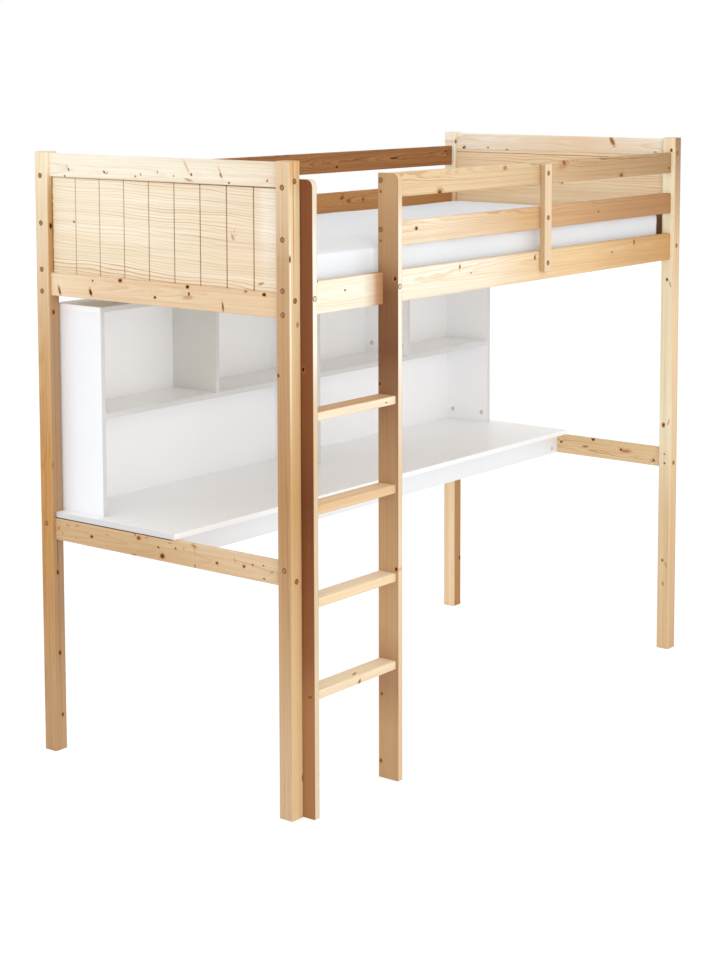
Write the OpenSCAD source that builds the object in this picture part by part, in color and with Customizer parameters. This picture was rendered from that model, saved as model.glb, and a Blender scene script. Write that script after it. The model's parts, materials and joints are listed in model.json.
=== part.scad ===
// Cabin bed: four square posts carry a slatted bed base at loft height, with guard rails round it,
// a ladder at the left of the front, and a desk with a bookcase between the rear posts.
// All boards are bolted to the posts with cross-dowel bolts under round cover caps.
// The origin is on the floor at the middle of the overall footprint: +X points to the foot end,
// +Y to the wall side and +Z up.

/* [Mattress] */
// Length of the mattress
mattress_l = 2000; // [1900:1:2100]
// Width of the mattress
mattress_w = 900; // [800:1:1000]
// Thickness of the mattress at its crown
mattress_t = 120; // [90:1:125]
// Corner radius of the mattress, seen from above
mattress_corner = 55; // [45:1:90]
// Rounding of the mattress's top and bottom edges
mattress_edge = 26; // [12:1:40]
// Height of the crown in the middle of the mattress
mattress_crown = 7; // [2:0.5:12]
// Gap between the mattress and each end rail
mattress_end_gap = 10.5; // [6:0.5:20]
// Gap between the mattress and each side rail
mattress_side_gap = 6.5; // [5:0.5:15]

/* [Posts] */
// Height of the posts
post_h = 1805; // [1700:1:1900]
// Distance from the top of the posts down to the upper guard rails
post_over = 51; // [44:0.5:80]
// Side of the square posts
post_side = 47; // [44:0.5:54]
// Rounding of the posts' upright edges
post_r = 4; // [2:0.5:8]
// Bevel round the top of the posts
post_bevel = 2; // [1:0.5:4]

/* [Side rails and guard rails] */
// Height of the side rails
side_h = 91.5; // [88:0.5:98]
// Thickness of the side rails, guard rails and rear desk rail
rail_t = 22; // [20:0.5:26]
// Height of a guard rail
guard_h = 70; // [64:0.5:74]
// Gap under each guard rail
guard_gap = 69.5; // [60:0.5:74]
// Rounding of the boards' long edges
rail_r = 3; // [1.5:0.5:5]
// Width of the upright strap over the guard rails
strap_w = 40; // [32:1:60]
// Thickness of the strap
strap_t = 20; // [18:0.5:24]
// Distance from the top of the upper guard rail down to the top of the strap
strap_drop = 5.5; // [2:0.5:12]
// Distance from the side rail's underside up to the foot of the strap
strap_rise = 25.5; // [5:0.5:30]

/* [End frames] */
// Thickness of the end rails
end_t = 18; // [17:0.5:22]
// Height of the end rails
end_h = 68; // [60:0.5:76]
// Distance from the top of a post down to the top end rail
end_drop = 4; // [2:0.5:10]
// Distance of the lower end rail's underside below that of the side rails
end_under = 2; // [0:0.5:6]
// Thickness of the grooved end panels
panel_t = 9; // [7:0.5:10]
// Lap of an end panel over the rebate of each rail
panel_lap = 10; // [6:0.5:14]
// Number of boards that the grooves mark out on a panel
panel_boards = 9; // [6:1:12]
// Width of a groove
groove_w = 5; // [3:0.5:8]
// Depth of a groove
groove_d = 2.5; // [1:0.5:4]

/* [Slatted base] */
// Number of slats
slat_count = 13; // [11:1:13]
// Width of a slat
slat_w = 90; // [70:1:95]
// Thickness of a slat
slat_t = 18; // [15:0.5:22]
// Gap between a slat's end and each side rail
slat_gap = 2; // [1:0.5:4]
// Distance of the first and last slat from the posts
slat_end_gap = 6; // [2:1:20]
// Height of the battens that carry the slats
ledger_h = 28; // [22:0.5:32]
// Width of the battens that carry the slats
ledger_w = 24; // [18:0.5:30]

/* [Ladder] */
// Clear width between the ladder's stiles
ladder_clear = 354; // [300:1:420]
// Thickness of a stile
stile_t = 20; // [18:0.5:26]
// Depth of a stile from front to back
stile_d = 70; // [64:0.5:80]
// How far the stiles reach back beside the guard rails
stile_lap = 17; // [14:0.5:20]
// Height of the stiles above the upper guard rail
stile_over = 1.5; // [0:0.5:20]
// Radius of the stiles' upper front corner
stile_corner = 20; // [8:1:30]
// Number of rungs
rung_count = 4; // [3:1:5]
// Height of the lowest rung's top above the floor
rung_first = 355; // [300:1:400]
// Thickness of a rung
rung_t = 25; // [22:0.5:30]
// Setback of the rungs from the stiles' front edge
rung_back = 8; // [3:0.5:14]
// Rounding of the rungs' long edges
rung_r = 4; // [2:0.5:8]
// Distance of the rungs' dowels from their front and back edges
rung_dowel_in = 10; // [8:0.5:18]

/* [Desk] */
// Height of the desk rails' tops above the floor
desk_rail_top = 716; // [680:1:760]
// Depth of the desk top
desk_d = 520; // [460:1:560]
// Thickness of the white boards
white_t = 16; // [15:0.5:19]
// Distance of the desk top's ends from the end rails' outer faces
desk_end_gap = 2.5; // [0:0.5:5]
// Gap round a post in the desk top's notched corners
notch_gap = 1.5; // [1:0.5:4]
// Setback of the apron from the desk's front edge
apron_back = 31; // [15:1:60]
// Height of the apron
apron_h = 68; // [66:1:90]
// Rounding of the white boards' edges
white_r = 1; // [0.5:0.5:2]

/* [Bookcase] */
// Depth of the bookcase
case_d = 200; // [160:1:240]
// Gap between the bookcase and each rear post
case_side_gap = 3.5; // [1:0.5:8]
// Distance of the bookcase's rear from the desk's rear edge
case_rear_gap = 1.5; // [0:0.5:4]
// Gap between the bookcase's top and the side rail's underside
case_top_gap = 29.5; // [15:0.5:60]
// Clear height of the lower row
case_low_h = 290; // [240:1:340]
// Thickness of the back panel
back_t = 4; // [3:0.5:6]
// Distance of the back panel from the bookcase's rear edge
back_inset = 11; // [8:0.5:20]
// Depth of the grooves that hold the back panel
back_groove = 7; // [4:0.5:9]

/* [Fittings] */
// Diameter of a bolt
bolt_d = 6; // [5:0.5:8]
// Diameter of a bolt's head
head_d = 12.5; // [11:0.5:13.5]
// Height of a bolt's head
head_h = 5; // [4:0.5:6]
// Diameter of a cover cap
cap_d = 15; // [14.5:0.5:16]
// Thickness of a cover cap
cap_t = 3.5; // [2.5:0.5:4]
// Height of a cover cap over the wood
cap_proud = 1; // [0.5:0.1:1.5]
// Depth of the pocket for a bolt's head and its cap
pocket = 10; // [9:0.5:12]
// Diameter of a cross-dowel nut
nut_d = 10; // [9.5:0.5:12]
// Length of a cross-dowel nut
nut_l = 13; // [11:0.5:15]
// Distance of a cross-dowel nut from the end of its board
nut_back = 37; // [30:1:50]
// Diameter of a wooden dowel
dowel_d = 8; // [6:0.5:10]
// Depth of a dowel in the post
dowel_post = 15; // [10:0.5:16]
// Depth of a dowel in the board
dowel_board = 25; // [20:1:30]
// Spacing of the bolt and the dowel in one joint
joint_pitch = 32; // [28:1:36]
// Height of the bolts that hold the ladder and the straps above the side rail's underside
lap_bolt_rise = 53.5; // [46:0.5:60]
// Height of a side rail's lower bolt above its underside
side_bolt_low = 10.5; // [9:0.5:20]
// Distance of a side rail's upper bolt below its top
side_bolt_top = 16.5; // [10:0.5:20]
// Height of a side rail's dowel above its underside
side_dowel = 30; // [24:0.5:34]
// Distance of the guard rails' bolts from the stile's back edge
stile_bolt_in = 9; // [8:0.5:11]
// Diameter of a cam lock and of the bore it sits in
cam_d = 15; // [12:0.5:16]
// Depth of a cam lock in its board
cam_t = 12; // [10:0.5:13]
// Distance of a cam lock from the edge that it pulls on
cam_back = 35; // [30:0.5:40]
// Distance of the cam locks from the front and back edges
cam_edge = 27; // [20:1:40]
// Depth of the apron's cam locks below the desk top
apron_cam_drop = 49; // [40:0.5:56]
// Diameter of a cam lock's pin
pin_d = 6; // [5:0.5:7]

/* [Hidden] */
SLATS = [for (i = [1 : slat_count]) str("slat_", i)];
RUNGS = [for (i = [1 : rung_count]) str("ladder_rung_", i)];

$fn = 32;
PINE = "burlywood";
PINE_DARK = "tan";
WHITE = "white";
STEEL = "silver";

// Clearance of a sliding fit, such as a bolt in its nut or a cap in its pocket
fit = 0.05;
// Clearance all round a bolt in wood
bolt_slack = 0.5;
// Free depth at the bottom of a blind hole
hole_over = 1;
// Depth of the hexagon socket in a bolt's head, and its width across the flats
socket_d = 3;
socket_w = 4;
// Flange and barrel of a sleeve nut, which ends a bolt that passes right through two boards
sleeve_flange_d = 15;
sleeve_flange_t = 2;
sleeve_d = 9;
sleeve_l = 13;
// Gap between the mattress and the slats
soft_gap = 0.3;
// Flat border inside the mattress's rounded edge, and how far its sides draw in at half height
mattress_flat = 60;
mattress_draw = 2.5;
// Least corner radius of the mattress's inner outlines
mattress_least_r = 12;
// Gap at the ends of the boards that only stand between others
end_gap = 0.5;
// Bays in the bookcase's upper row, with a divider between each two
upper_bays = 4;

// Centre lines of the posts, which are also those of the rails
post_x = mattress_l / 2 + mattress_end_gap + end_t / 2;
post_y = mattress_w / 2 + mattress_side_gap + rail_t / 2;
post_in_x = post_x - post_side / 2;
post_in_y = post_y - post_side / 2;
post_out_x = post_x + post_side / 2;
post_out_y = post_y + post_side / 2;
rail_in_y = post_y - rail_t / 2;
rail_out_y = post_y + rail_t / 2;
end_in_x = post_x - end_t / 2;
end_out_x = post_x + end_t / 2;

// Heights, from the top of the posts down to the slatted base
guard_top = post_h - post_over;
guard_top_z = guard_top - guard_h;
guard_low_z = guard_top_z - guard_gap - guard_h;
side_top = guard_low_z - guard_gap;
side_z = side_top - side_h;
end_top_z = post_h - end_drop - end_h;
end_low_z = side_z - end_under;
desk_rail_z = desk_rail_top - end_h;
rear_rail_z = desk_rail_top - guard_h;
desk_z = desk_rail_top + white_t;
ledger_top = side_z + ledger_h;
slat_top = ledger_top + slat_t;
mattress_z = slat_top + soft_gap;

// Ladder
stile_h = guard_top + stile_over;
stile_back_y = -(rail_out_y - stile_lap);
stile_front_y = stile_back_y - stile_d;
stile_left_x = -post_in_x;
stile_right_x = stile_left_x + stile_t + ladder_clear;
guard_left_x = stile_right_x + stile_t;
rung_pitch = (side_z - rung_first) / rung_count;
rung_front_y = stile_front_y + rung_back;
rung_back_y = stile_back_y;

// Desk and bookcase
desk_rear_y = rail_out_y;
desk_front_y = desk_rear_y - desk_d;
desk_end_x = end_out_x - desk_end_gap;
apron_y = desk_front_y + apron_back;
case_x = post_in_x - case_side_gap;
case_in_x = case_x - white_t;
case_rear_y = desk_rear_y - case_rear_gap;
case_front_y = case_rear_y - case_d;
back_y = case_rear_y - back_inset - back_t;
case_top_z = side_z - case_top_gap;
case_roof_z = case_top_z - white_t;
shelf_z = desk_z + case_low_h;
shelf_top = shelf_z + white_t;
bay_w = (2 * case_in_x - (upper_bays - 1) * white_t) / upper_bays;
divider_x = [for (i = [1 : upper_bays - 1]) -case_in_x + i * bay_w + (i - 1) * white_t];
cam_y = [case_front_y + cam_edge, back_y - cam_edge];

// The middle of the whole footprint, from the ladder's front to whatever stands out behind
rear_out_y = max(post_out_y, rail_out_y + strap_t + cap_proud);
frame_shift = -(rear_out_y + stile_front_y - cap_proud) / 2;

// Heights of the bolts and dowels in the long boards' ends, and in the end rails' ends
guard_z = [guard_top_z, guard_low_z];
long_bolt_z = concat(
    [for (z = guard_z) z + guard_h / 2 + joint_pitch / 2],
    [side_top - side_bolt_top, side_z + side_bolt_low],
    [rear_rail_z + guard_h / 2 + joint_pitch / 2]);
long_dowel_z = concat(
    [for (z = guard_z) z + guard_h / 2 - joint_pitch / 2],
    [side_z + side_dowel],
    [rear_rail_z + guard_h / 2 - joint_pitch / 2]);
end_bolt_z = [
    end_top_z + end_h / 2 - joint_pitch / 2,
    end_low_z + end_h / 2 + joint_pitch / 2,
    desk_rail_z + end_h / 2 - joint_pitch / 2];
end_dowel_z = [
    end_top_z + end_h / 2 + joint_pitch / 2,
    end_low_z + end_h / 2 - joint_pitch / 2,
    desk_rail_z + end_h / 2 + joint_pitch / 2];
lap_bolt_z = side_z + lap_bolt_rise;
strap_bolt_z = [guard_top_z + guard_h / 2, guard_low_z + guard_h / 2, lap_bolt_z];
strap_x = [(guard_left_x + post_in_x) / 2, 0];
stile_bolt_y = stile_back_y - stile_bolt_in;

// Points of a rectangle with its corner at the origin and rounded corners
function round_rect(w, h, r, steps = 4) = [
    for (c = [[w - r, h - r, 0], [r, h - r, 90], [r, r, 180], [w - r, r, 270]])
        for (i = [0 : steps])
            [c[0] + r * cos(c[2] + 90 * i / steps), c[1] + r * sin(c[2] + 90 * i / steps)]];

// Moves what is drawn about the posts' middle to the origin of the whole footprint
module in_frame() translate([0, frame_shift, 0]) children();

// Extrudes a profile of Y and Z along X
module along_x(x0, x1) translate([x0, 0, 0]) rotate([90, 0, 90]) linear_extrude(x1 - x0) children();

// Extrudes a profile of X and Z along Y
module along_y(y0, y1) translate([0, y1, 0]) rotate([90, 0, 0]) linear_extrude(y1 - y0) children();

// Extrudes a profile of X and Y along Z
module along_z(z0, z1) translate([0, 0, z0]) linear_extrude(z1 - z0) children();

// Rounded board along X, between x0 and x1, with its low corner at y, z
module board_x(x0, x1, y, z, t, h, r) along_x(x0, x1) translate([y, z]) polygon(round_rect(t, h, r));

// Rounded board along Y, between y0 and y1, with its low corner at x, z
module board_y(y0, y1, x, z, t, h, r) along_y(y0, y1) translate([x, z]) polygon(round_rect(t, h, r));

// Rounded board standing along Z, between z0 and z1, with its low corner at x, y
module board_z(z0, z1, x, y, w, d, r) along_z(z0, z1) translate([x, y]) polygon(round_rect(w, d, r));

// Stands a fitting on the outer X face of a post, pointing into the bed
module on_post_x(sx, sy, z) translate([sx * post_out_x, sy * post_y, z])
    rotate([0, -90 * sx, 0]) children();

// Stands a fitting on the outer Y face of a post, pointing into the bed
module on_post_y(sx, sy, z) translate([sx * post_x, sy * post_out_y, z])
    rotate([90 * sy, 0, 0]) children();

// Stands a fitting on the open side of the right stile, pointing to the foot end
module on_stile_side(z) translate([stile_right_x, stile_bolt_y, z]) rotate([0, 90, 0]) children();

// Stands a fitting on a stile's front edge, pointing to the wall
module on_stile_front(x) translate([x + stile_t / 2, stile_front_y, lap_bolt_z])
    rotate([-90, 0, 0]) children();

// Stands a fitting on a strap's outer face, pointing into the bed
module on_strap(i, z) translate([strap_x[i], (2 * i - 1) * (rail_out_y + strap_t), z])
    rotate([90 * (2 * i - 1), 0, 0]) children();

// Cuts for a bolt: the pocket for its head and cap, and a hole to the given depth
module bolt_way(depth) {
    translate([0, 0, -1]) cylinder(d = cap_d + 2 * fit, h = pocket + 1);
    cylinder(d = bolt_d + 2 * bolt_slack, h = depth);
}

// Blind hole for a dowel, in the end of a board that begins at the given depth
module board_dowel_way(depth)
    cylinder_between(depth - 1, depth + dowel_board + hole_over, dowel_d + 2 * fit);

// Cut for a cross-dowel nut at the given depth: it runs to the board's face at y, seen along the bolt
module nut_way(depth, y) translate([0, 0, depth]) rotate([y > 0 ? -90 : 90, 0, 0])
    translate([0, 0, -nut_l / 2]) cylinder(d = nut_d + 2 * fit, h = nut_l / 2 + abs(y) + 1);

// The same cut, for a board whose broad face is seen along X from the bolt
module nut_way_side(depth, x) rotate([0, 0, -90]) nut_way(depth, x);

// Bolt with a hexagon socket, its head at the bottom of the pocket
module bolt(depth) difference() {
    union() {
        translate([0, 0, pocket - head_h]) cylinder(d = head_d, h = head_h);
        cylinder_between(pocket - head_h, depth, bolt_d);
    }
    translate([0, 0, pocket - head_h - 1]) cylinder(d = socket_w / cos(30), h = socket_d + 1, $fn = 6);
}

// Cylinder of diameter d from height z0 to z1
module cylinder_between(z0, z1, d) translate([0, 0, z0]) cylinder(d = d, h = z1 - z0);

// Cross-dowel nut at the given depth along a bolt, lying across it
module cross_nut(depth) translate([0, 0, depth]) difference() {
    rotate([90, 0, 0]) translate([0, 0, -nut_l / 2]) cylinder(d = nut_d, h = nut_l);
    translate([0, 0, -nut_d]) cylinder(d = bolt_d + 2 * fit, h = 2 * nut_d);
}

// Sleeve nut whose flange lies at the given depth
module sleeve_nut(depth) difference() {
    union() {
        cylinder_between(depth - sleeve_flange_t, depth, sleeve_flange_d);
        cylinder_between(depth - sleeve_l, depth, sleeve_d);
    }
    cylinder_between(depth - sleeve_l - 1, depth + 1, bolt_d + 2 * fit);
}

// Cut for a sleeve nut, from the face at the given depth
module sleeve_way(depth) {
    cylinder_between(depth - sleeve_flange_t, depth + 1, sleeve_flange_d + 2 * fit);
    cylinder_between(depth - sleeve_l - hole_over, depth + 1, sleeve_d + 2 * fit);
}

// Domed cover cap, pressed into the mouth of a pocket
module cover_cap() rotate_extrude() polygon(concat(
    [for (a = [0 : 30 : 90]) [cap_d / 2 * sin(a), -cap_proud * cos(a)]],
    [[cap_d / 2, cap_t - cap_proud], [0, cap_t - cap_proud]]));

// Depths at which the bolts' nuts lie, seen from the bolts' mouths
nut_depth = post_side + nut_back;
stile_nut_depth = stile_t + nut_back;
lap_stile_depth = stile_d - stile_lap + rail_t;
lap_strap_depth = strap_t + rail_t;
bolt_end = nut_d / 2 + 3;

// ---- Posts ----
// Post with its bolt pockets and dowel holes. All four are drilled alike, so that the ladder can
// stand at either end: holes that no rail uses keep their caps.
module post(sx, sy) color(PINE) in_frame() difference() {
    translate([sx * post_x, sy * post_y, 0]) intersection() {
        board_z(0, post_h, -post_side / 2, -post_side / 2, post_side, post_side, post_r);
        along_x(-post_side, post_side) polygon(post_outline());
        along_y(-post_side, post_side) polygon(post_outline());
    }
    for (z = long_bolt_z) on_post_x(sx, sy, z) bolt_way(post_side + 1);
    for (z = end_bolt_z) on_post_y(sx, sy, z) bolt_way(post_side + 1);
    for (z = long_dowel_z) on_post_x(sx, sy, z) post_dowel_way();
    for (z = end_dowel_z) on_post_y(sx, sy, z) post_dowel_way();
}

// Blind hole for a dowel, in the post's inner face
module post_dowel_way()
    cylinder_between(post_side - dowel_post - hole_over, post_side + 1, dowel_d + 2 * fit);

// Side view of a post, with the bevel at its top
function post_outline() = let (a = post_side / 2, b = post_bevel)
    [[-a, 0], [a, 0], [a, post_h - b], [a - b, post_h], [b - a, post_h], [-a, post_h - b]];

// ---- End frames ----
// Rail across one end. rebate is 1 for a rebate along its top, -1 along its underside, 0 for none.
module end_rail(sx, i, z, rebate) color(PINE) in_frame() difference() {
    board_y(-post_in_y, post_in_y, sx > 0 ? end_in_x : -end_out_x, z, end_t, end_h, rail_r);
    if (rebate != 0) {
        rebate_z = rebate > 0 ? z + end_h - panel_lap : z - 1;
        translate([sx > 0 ? end_in_x - 1 : -end_in_x - panel_t, -post_in_y - 1, rebate_z])
            cube([panel_t + 1, 2 * post_in_y + 2, panel_lap + 1]);
    }
    for (sy = [-1, 1]) {
        on_post_y(sx, sy, end_bolt_z[i]) {
            bolt_way(nut_depth + bolt_end + hole_over);
            nut_way_side(nut_depth, -sx * end_t / 2);
        }
        on_post_y(sx, sy, end_dowel_z[i]) board_dowel_way(post_side);
    }
}

// Grooved panel, held in the rebates of the rails above and below it
module end_panel(sx) color(PINE) in_frame()
    along_z(end_low_z + end_h - panel_lap, end_top_z + panel_lap)
        scale([sx, 1]) translate([end_in_x, 0]) polygon(panel_outline());

// Plan of the panel's half that faces out, with the grooves along its outer face
function panel_outline() = let (half = post_in_y - end_gap, pitch = 2 * post_in_y / panel_boards)
    concat(
        [[0, -half], [panel_t, -half]],
        [for (i = [1 : panel_boards - 1]) for (p = [-1, 0, 1])
            [panel_t - (p == 0 ? groove_d : 0), -post_in_y + i * pitch + p * groove_w / 2]],
        [[panel_t, half], [0, half]]);

// ---- Long rails ----
// Board between the posts of one side. bolts and dowels are the heights of its fittings.
module long_rail(sy, x0, z, h, bolts, dowels) difference() {
    board_x(x0, post_in_x, sy > 0 ? rail_in_y : -rail_out_y, z, rail_t, h, rail_r);
    for (sx = x0 > -post_in_x ? [1] : [-1, 1]) {
        for (b = bolts) on_post_x(sx, sy, b) {
            bolt_way(nut_depth + bolt_end + hole_over);
            nut_way(nut_depth, -sy * rail_t / 2);
        }
        for (d = dowels) on_post_x(sx, sy, d) board_dowel_way(post_side);
    }
}

module side_rail(sy) color(PINE) in_frame() difference() {
    long_rail(sy, -post_in_x, side_z, side_h, [long_bolt_z[2], long_bolt_z[3]], [long_dowel_z[2]]);
    if (sy < 0) for (x = [stile_left_x, stile_right_x]) on_stile_front(x) {
        bolt_way(lap_stile_depth);
        sleeve_way(lap_stile_depth);
    }
    strap_bores((sy + 1) / 2, lap_bolt_z);
}

// Holes for the bolt that holds a strap at height z
module strap_bores(i, z) on_strap(i, z) {
    bolt_way(lap_strap_depth);
    sleeve_way(lap_strap_depth);
}

// Guard rail k of one side: 0 is the upper one. The front ones end at the ladder.
module guard_rail(sy, k) color(PINE) in_frame() difference() {
    long_rail(sy, sy < 0 ? guard_left_x : -post_in_x, guard_z[k], guard_h,
        [long_bolt_z[k]], [long_dowel_z[k]]);
    if (sy < 0) {
        on_stile_side(long_bolt_z[k]) {
            bolt_way(stile_nut_depth + bolt_end + hole_over);
            nut_way(stile_nut_depth, -stile_bolt_y - rail_in_y);
        }
        on_stile_side(long_dowel_z[k]) board_dowel_way(stile_t);
    }
    strap_bores((sy + 1) / 2, strap_bolt_z[k]);
}

// Upright strap that ties the guard rails to the side rail, outside them
module strap(i) color(PINE) in_frame() difference() {
    x0 = strap_x[i] - strap_w / 2;
    y0 = i == 0 ? -rail_out_y - strap_t : rail_out_y;
    z0 = side_z + strap_rise;
    z1 = guard_top - strap_drop;
    intersection() {
        board_z(z0, z1, x0, y0, strap_w, strap_t, rail_r);
        along_y(y0 - 1, y0 + strap_t + 1)
            translate([x0, z0]) polygon(round_rect(strap_w, z1 - z0, 2 * rail_r));
    }
    for (z = strap_bolt_z) on_strap(i, z) bolt_way(strap_t + 1);
}

// ---- Slatted base ----
// Batten along the inside of a side rail, which the slats lie on
module ledger(sy) color(PINE) in_frame()
    board_x(-post_in_x + end_gap, post_in_x - end_gap,
        sy > 0 ? rail_in_y - ledger_w : -rail_in_y, side_z, ledger_w, ledger_h, rail_r / 2);

module slat(i) color(PINE_DARK) in_frame() {
    first = -post_in_x + slat_end_gap;
    pitch = (2 * (post_in_x - slat_end_gap) - slat_w) / (slat_count - 1);
    board_y(-rail_in_y + slat_gap, rail_in_y - slat_gap,
        first + i * pitch, ledger_top, slat_w, slat_t, rail_r);
}

// ---- Ladder ----
// Side view of a stile: rounded at the top front, and notched to lap over the side rail
module stile_profile() {
    front = -stile_front_y;
    c = stile_corner;
    polygon(concat(
        [[stile_front_y, 0], [stile_back_y, 0]],
        [[stile_back_y, side_z], [-rail_out_y, side_z]],
        [[-rail_out_y, side_top], [stile_back_y, side_top]],
        [[stile_back_y, stile_h]],
        [for (a = [0 : 10 : 90]) [c - front - c * sin(a), stile_h - c + c * cos(a)]]));
}

module stile(right) color(PINE) in_frame() difference() {
    x0 = right ? stile_right_x : stile_left_x;
    along_x(x0, x0 + stile_t) stile_profile();
    on_stile_front(x0) bolt_way(lap_stile_depth + 1);
    if (right) for (k = [0, 1]) {
        on_stile_side(long_bolt_z[k]) bolt_way(stile_t + 1);
        on_stile_side(long_dowel_z[k]) cylinder_between(-1, stile_t + 1, dowel_d + 2 * fit);
    }
    for (i = [0 : rung_count - 1]) rung_dowels(i)
        cylinder_between(-1, 2 * dowel_board, dowel_d + 2 * fit);
}

// Stands a fitting at each end of rung i, pointing into it from the stile's outer face
module rung_dowels(i) {
    z = rung_first + i * rung_pitch - rung_t / 2;
    for (y = [rung_front_y + rung_dowel_in, rung_back_y - rung_dowel_in]) {
        translate([stile_left_x, y, z]) rotate([0, 90, 0]) children();
        translate([guard_left_x, y, z]) rotate([0, -90, 0]) children();
    }
}

module rung(i) color(PINE) in_frame() difference() {
    board_x(stile_left_x + stile_t, stile_right_x, rung_front_y,
        rung_first + i * rung_pitch - rung_t, rung_back_y - rung_front_y, rung_t, rung_r);
    rung_dowels(i) cylinder_between(0, stile_t + dowel_board + hole_over, dowel_d + 2 * fit);
}

// ---- Desk ----
// Desk top, notched round the rear posts
module desk_top() color(WHITE) in_frame() {
    nx = post_in_x - notch_gap;
    ny = post_in_y - notch_gap;
    along_z(desk_rail_top, desk_z) polygon([
        [-desk_end_x, desk_front_y], [desk_end_x, desk_front_y],
        [desk_end_x, ny], [nx, ny], [nx, desk_rear_y],
        [-nx, desk_rear_y], [-nx, ny], [-desk_end_x, ny]]);
}

module desk_apron() color(WHITE) in_frame() difference() {
    board_x(-end_in_x + end_gap, end_in_x - end_gap, apron_y,
        desk_rail_top - apron_h, white_t, apron_h, white_r);
    apron_cams() cam_way();
}

module desk_rear_rail() color(PINE) in_frame()
    long_rail(1, -post_in_x, rear_rail_z, guard_h, [long_bolt_z[4]], [long_dowel_z[3]]);

// ---- Bookcase ----
module case_side(sx) color(WHITE) in_frame() difference() {
    board_z(desk_z, case_roof_z, sx > 0 ? case_in_x : -case_x, case_front_y, white_t, case_d, white_r);
    back_slot();
    case_cams(sx > 0 ? case_in_x : -case_in_x, -sx, desk_z, case_roof_z) cam_way();
}

// The space that the back panel takes, cut into the sides and the top
module back_slot() translate([-case_in_x - back_groove, back_y, desk_z])
    cube([2 * (case_in_x + back_groove), back_t, case_roof_z - desk_z + back_groove]);

module case_top() color(WHITE) in_frame() difference() {
    board_x(-case_x, case_x, case_front_y, case_roof_z, case_d, white_t, white_r);
    back_slot();
}

module case_shelf() color(WHITE) in_frame()
    board_x(-case_in_x, case_in_x, case_front_y, shelf_z, back_y - case_front_y, white_t, white_r);

// Upright between two bays. Its cam locks are on the side that faces s.
module case_divider(x, z0, z1, s) color(WHITE) in_frame() difference() {
    board_z(z0, z1, x, case_front_y, white_t, back_y - case_front_y, white_r);
    case_cams(s > 0 ? x + white_t : x, s, z0, z1) cam_way();
}

module case_back() color(WHITE) in_frame() {
    x1 = case_in_x + back_groove - end_gap;
    translate([-x1, back_y, desk_z])
        cube([2 * x1, back_t, case_roof_z - desk_z + back_groove - end_gap]);
}

// Stands a cam lock at the foot and head of an upright whose face lies at x and looks to s
module case_cams(x, s, z0, z1) for (y = cam_y) for (e = [[z0, 1], [z1, -1]])
    translate([x, y, e[0] + e[1] * cam_back])
        rotate([0, -90 * s, 0]) rotate(e[1] * s > 0 ? 180 : 0) children();

// Stands a cam lock on the apron's front, near each end rail
module apron_cams() for (sx = [-1, 1])
    translate([sx * (end_in_x - end_gap - cam_back), apron_y, desk_rail_top - apron_cam_drop])
        rotate([-90, 0, 0]) rotate(sx > 0 ? 0 : 180) children();

// Cuts for a cam lock: its bore, and the hole that its pin takes along +X to the board's edge
module cam_way() {
    translate([0, 0, -1]) cylinder(d = cam_d + 2 * fit, h = cam_t + 1 + hole_over / 2);
    translate([0, 0, white_t / 2]) rotate([0, 90, 0]) cylinder(d = pin_d + 2 * fit, h = cam_back + 1);
}

// Cam lock with a flat face and the pin that it pulls on
module cam_lock() {
    difference() {
        cylinder(d = cam_d, h = cam_t);
        translate([0, 0, white_t / 2]) rotate([0, 90, 0]) cylinder(d = pin_d + 2 * fit, h = cam_d);
    }
    translate([fit, 0, white_t / 2]) rotate([0, 90, 0]) cylinder(d = pin_d, h = cam_back - 2 * fit);
}

// ---- Fittings ----
module bolts() color(STEEL) in_frame() {
    for (sx = [-1, 1]) {
        for (z = long_bolt_z) on_post_x(sx, 1, z) bolt(nut_depth + bolt_end);
        for (k = [2, 3]) on_post_x(sx, -1, long_bolt_z[k]) bolt(nut_depth + bolt_end);
        for (sy = [-1, 1]) for (z = end_bolt_z) on_post_y(sx, sy, z) bolt(nut_depth + bolt_end);
    }
    for (k = [0, 1]) {
        on_post_x(1, -1, long_bolt_z[k]) bolt(nut_depth + bolt_end);
        on_stile_side(long_bolt_z[k]) bolt(stile_nut_depth + bolt_end);
    }
    for (x = [stile_left_x, stile_right_x]) on_stile_front(x) bolt(lap_stile_depth - sleeve_flange_t);
    for (i = [0, 1]) for (z = strap_bolt_z) on_strap(i, z) bolt(lap_strap_depth - sleeve_flange_t);
}

module nuts() color(STEEL) in_frame() {
    for (sx = [-1, 1]) {
        for (z = long_bolt_z) on_post_x(sx, 1, z) cross_nut(nut_depth);
        for (k = [2, 3]) on_post_x(sx, -1, long_bolt_z[k]) cross_nut(nut_depth);
        for (sy = [-1, 1]) for (z = end_bolt_z) on_post_y(sx, sy, z) rotate(90) cross_nut(nut_depth);
    }
    for (k = [0, 1]) {
        on_post_x(1, -1, long_bolt_z[k]) cross_nut(nut_depth);
        on_stile_side(long_bolt_z[k]) cross_nut(stile_nut_depth);
    }
    for (x = [stile_left_x, stile_right_x]) on_stile_front(x) sleeve_nut(lap_stile_depth);
    for (i = [0, 1]) for (z = strap_bolt_z) on_strap(i, z) sleeve_nut(lap_strap_depth);
}

module dowels() color(PINE_DARK) in_frame() {
    for (sx = [-1, 1]) {
        for (z = long_dowel_z) on_post_x(sx, 1, z) post_dowel();
        on_post_x(sx, -1, long_dowel_z[2]) post_dowel();
        for (sy = [-1, 1]) for (z = end_dowel_z) on_post_y(sx, sy, z) post_dowel();
    }
    for (k = [0, 1]) {
        on_post_x(1, -1, long_dowel_z[k]) post_dowel();
        on_stile_side(long_dowel_z[k]) cylinder_between(0, stile_t + dowel_board, dowel_d);
    }
    for (i = [0 : rung_count - 1]) rung_dowels(i) cylinder_between(0, stile_t + dowel_board, dowel_d);
}

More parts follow.
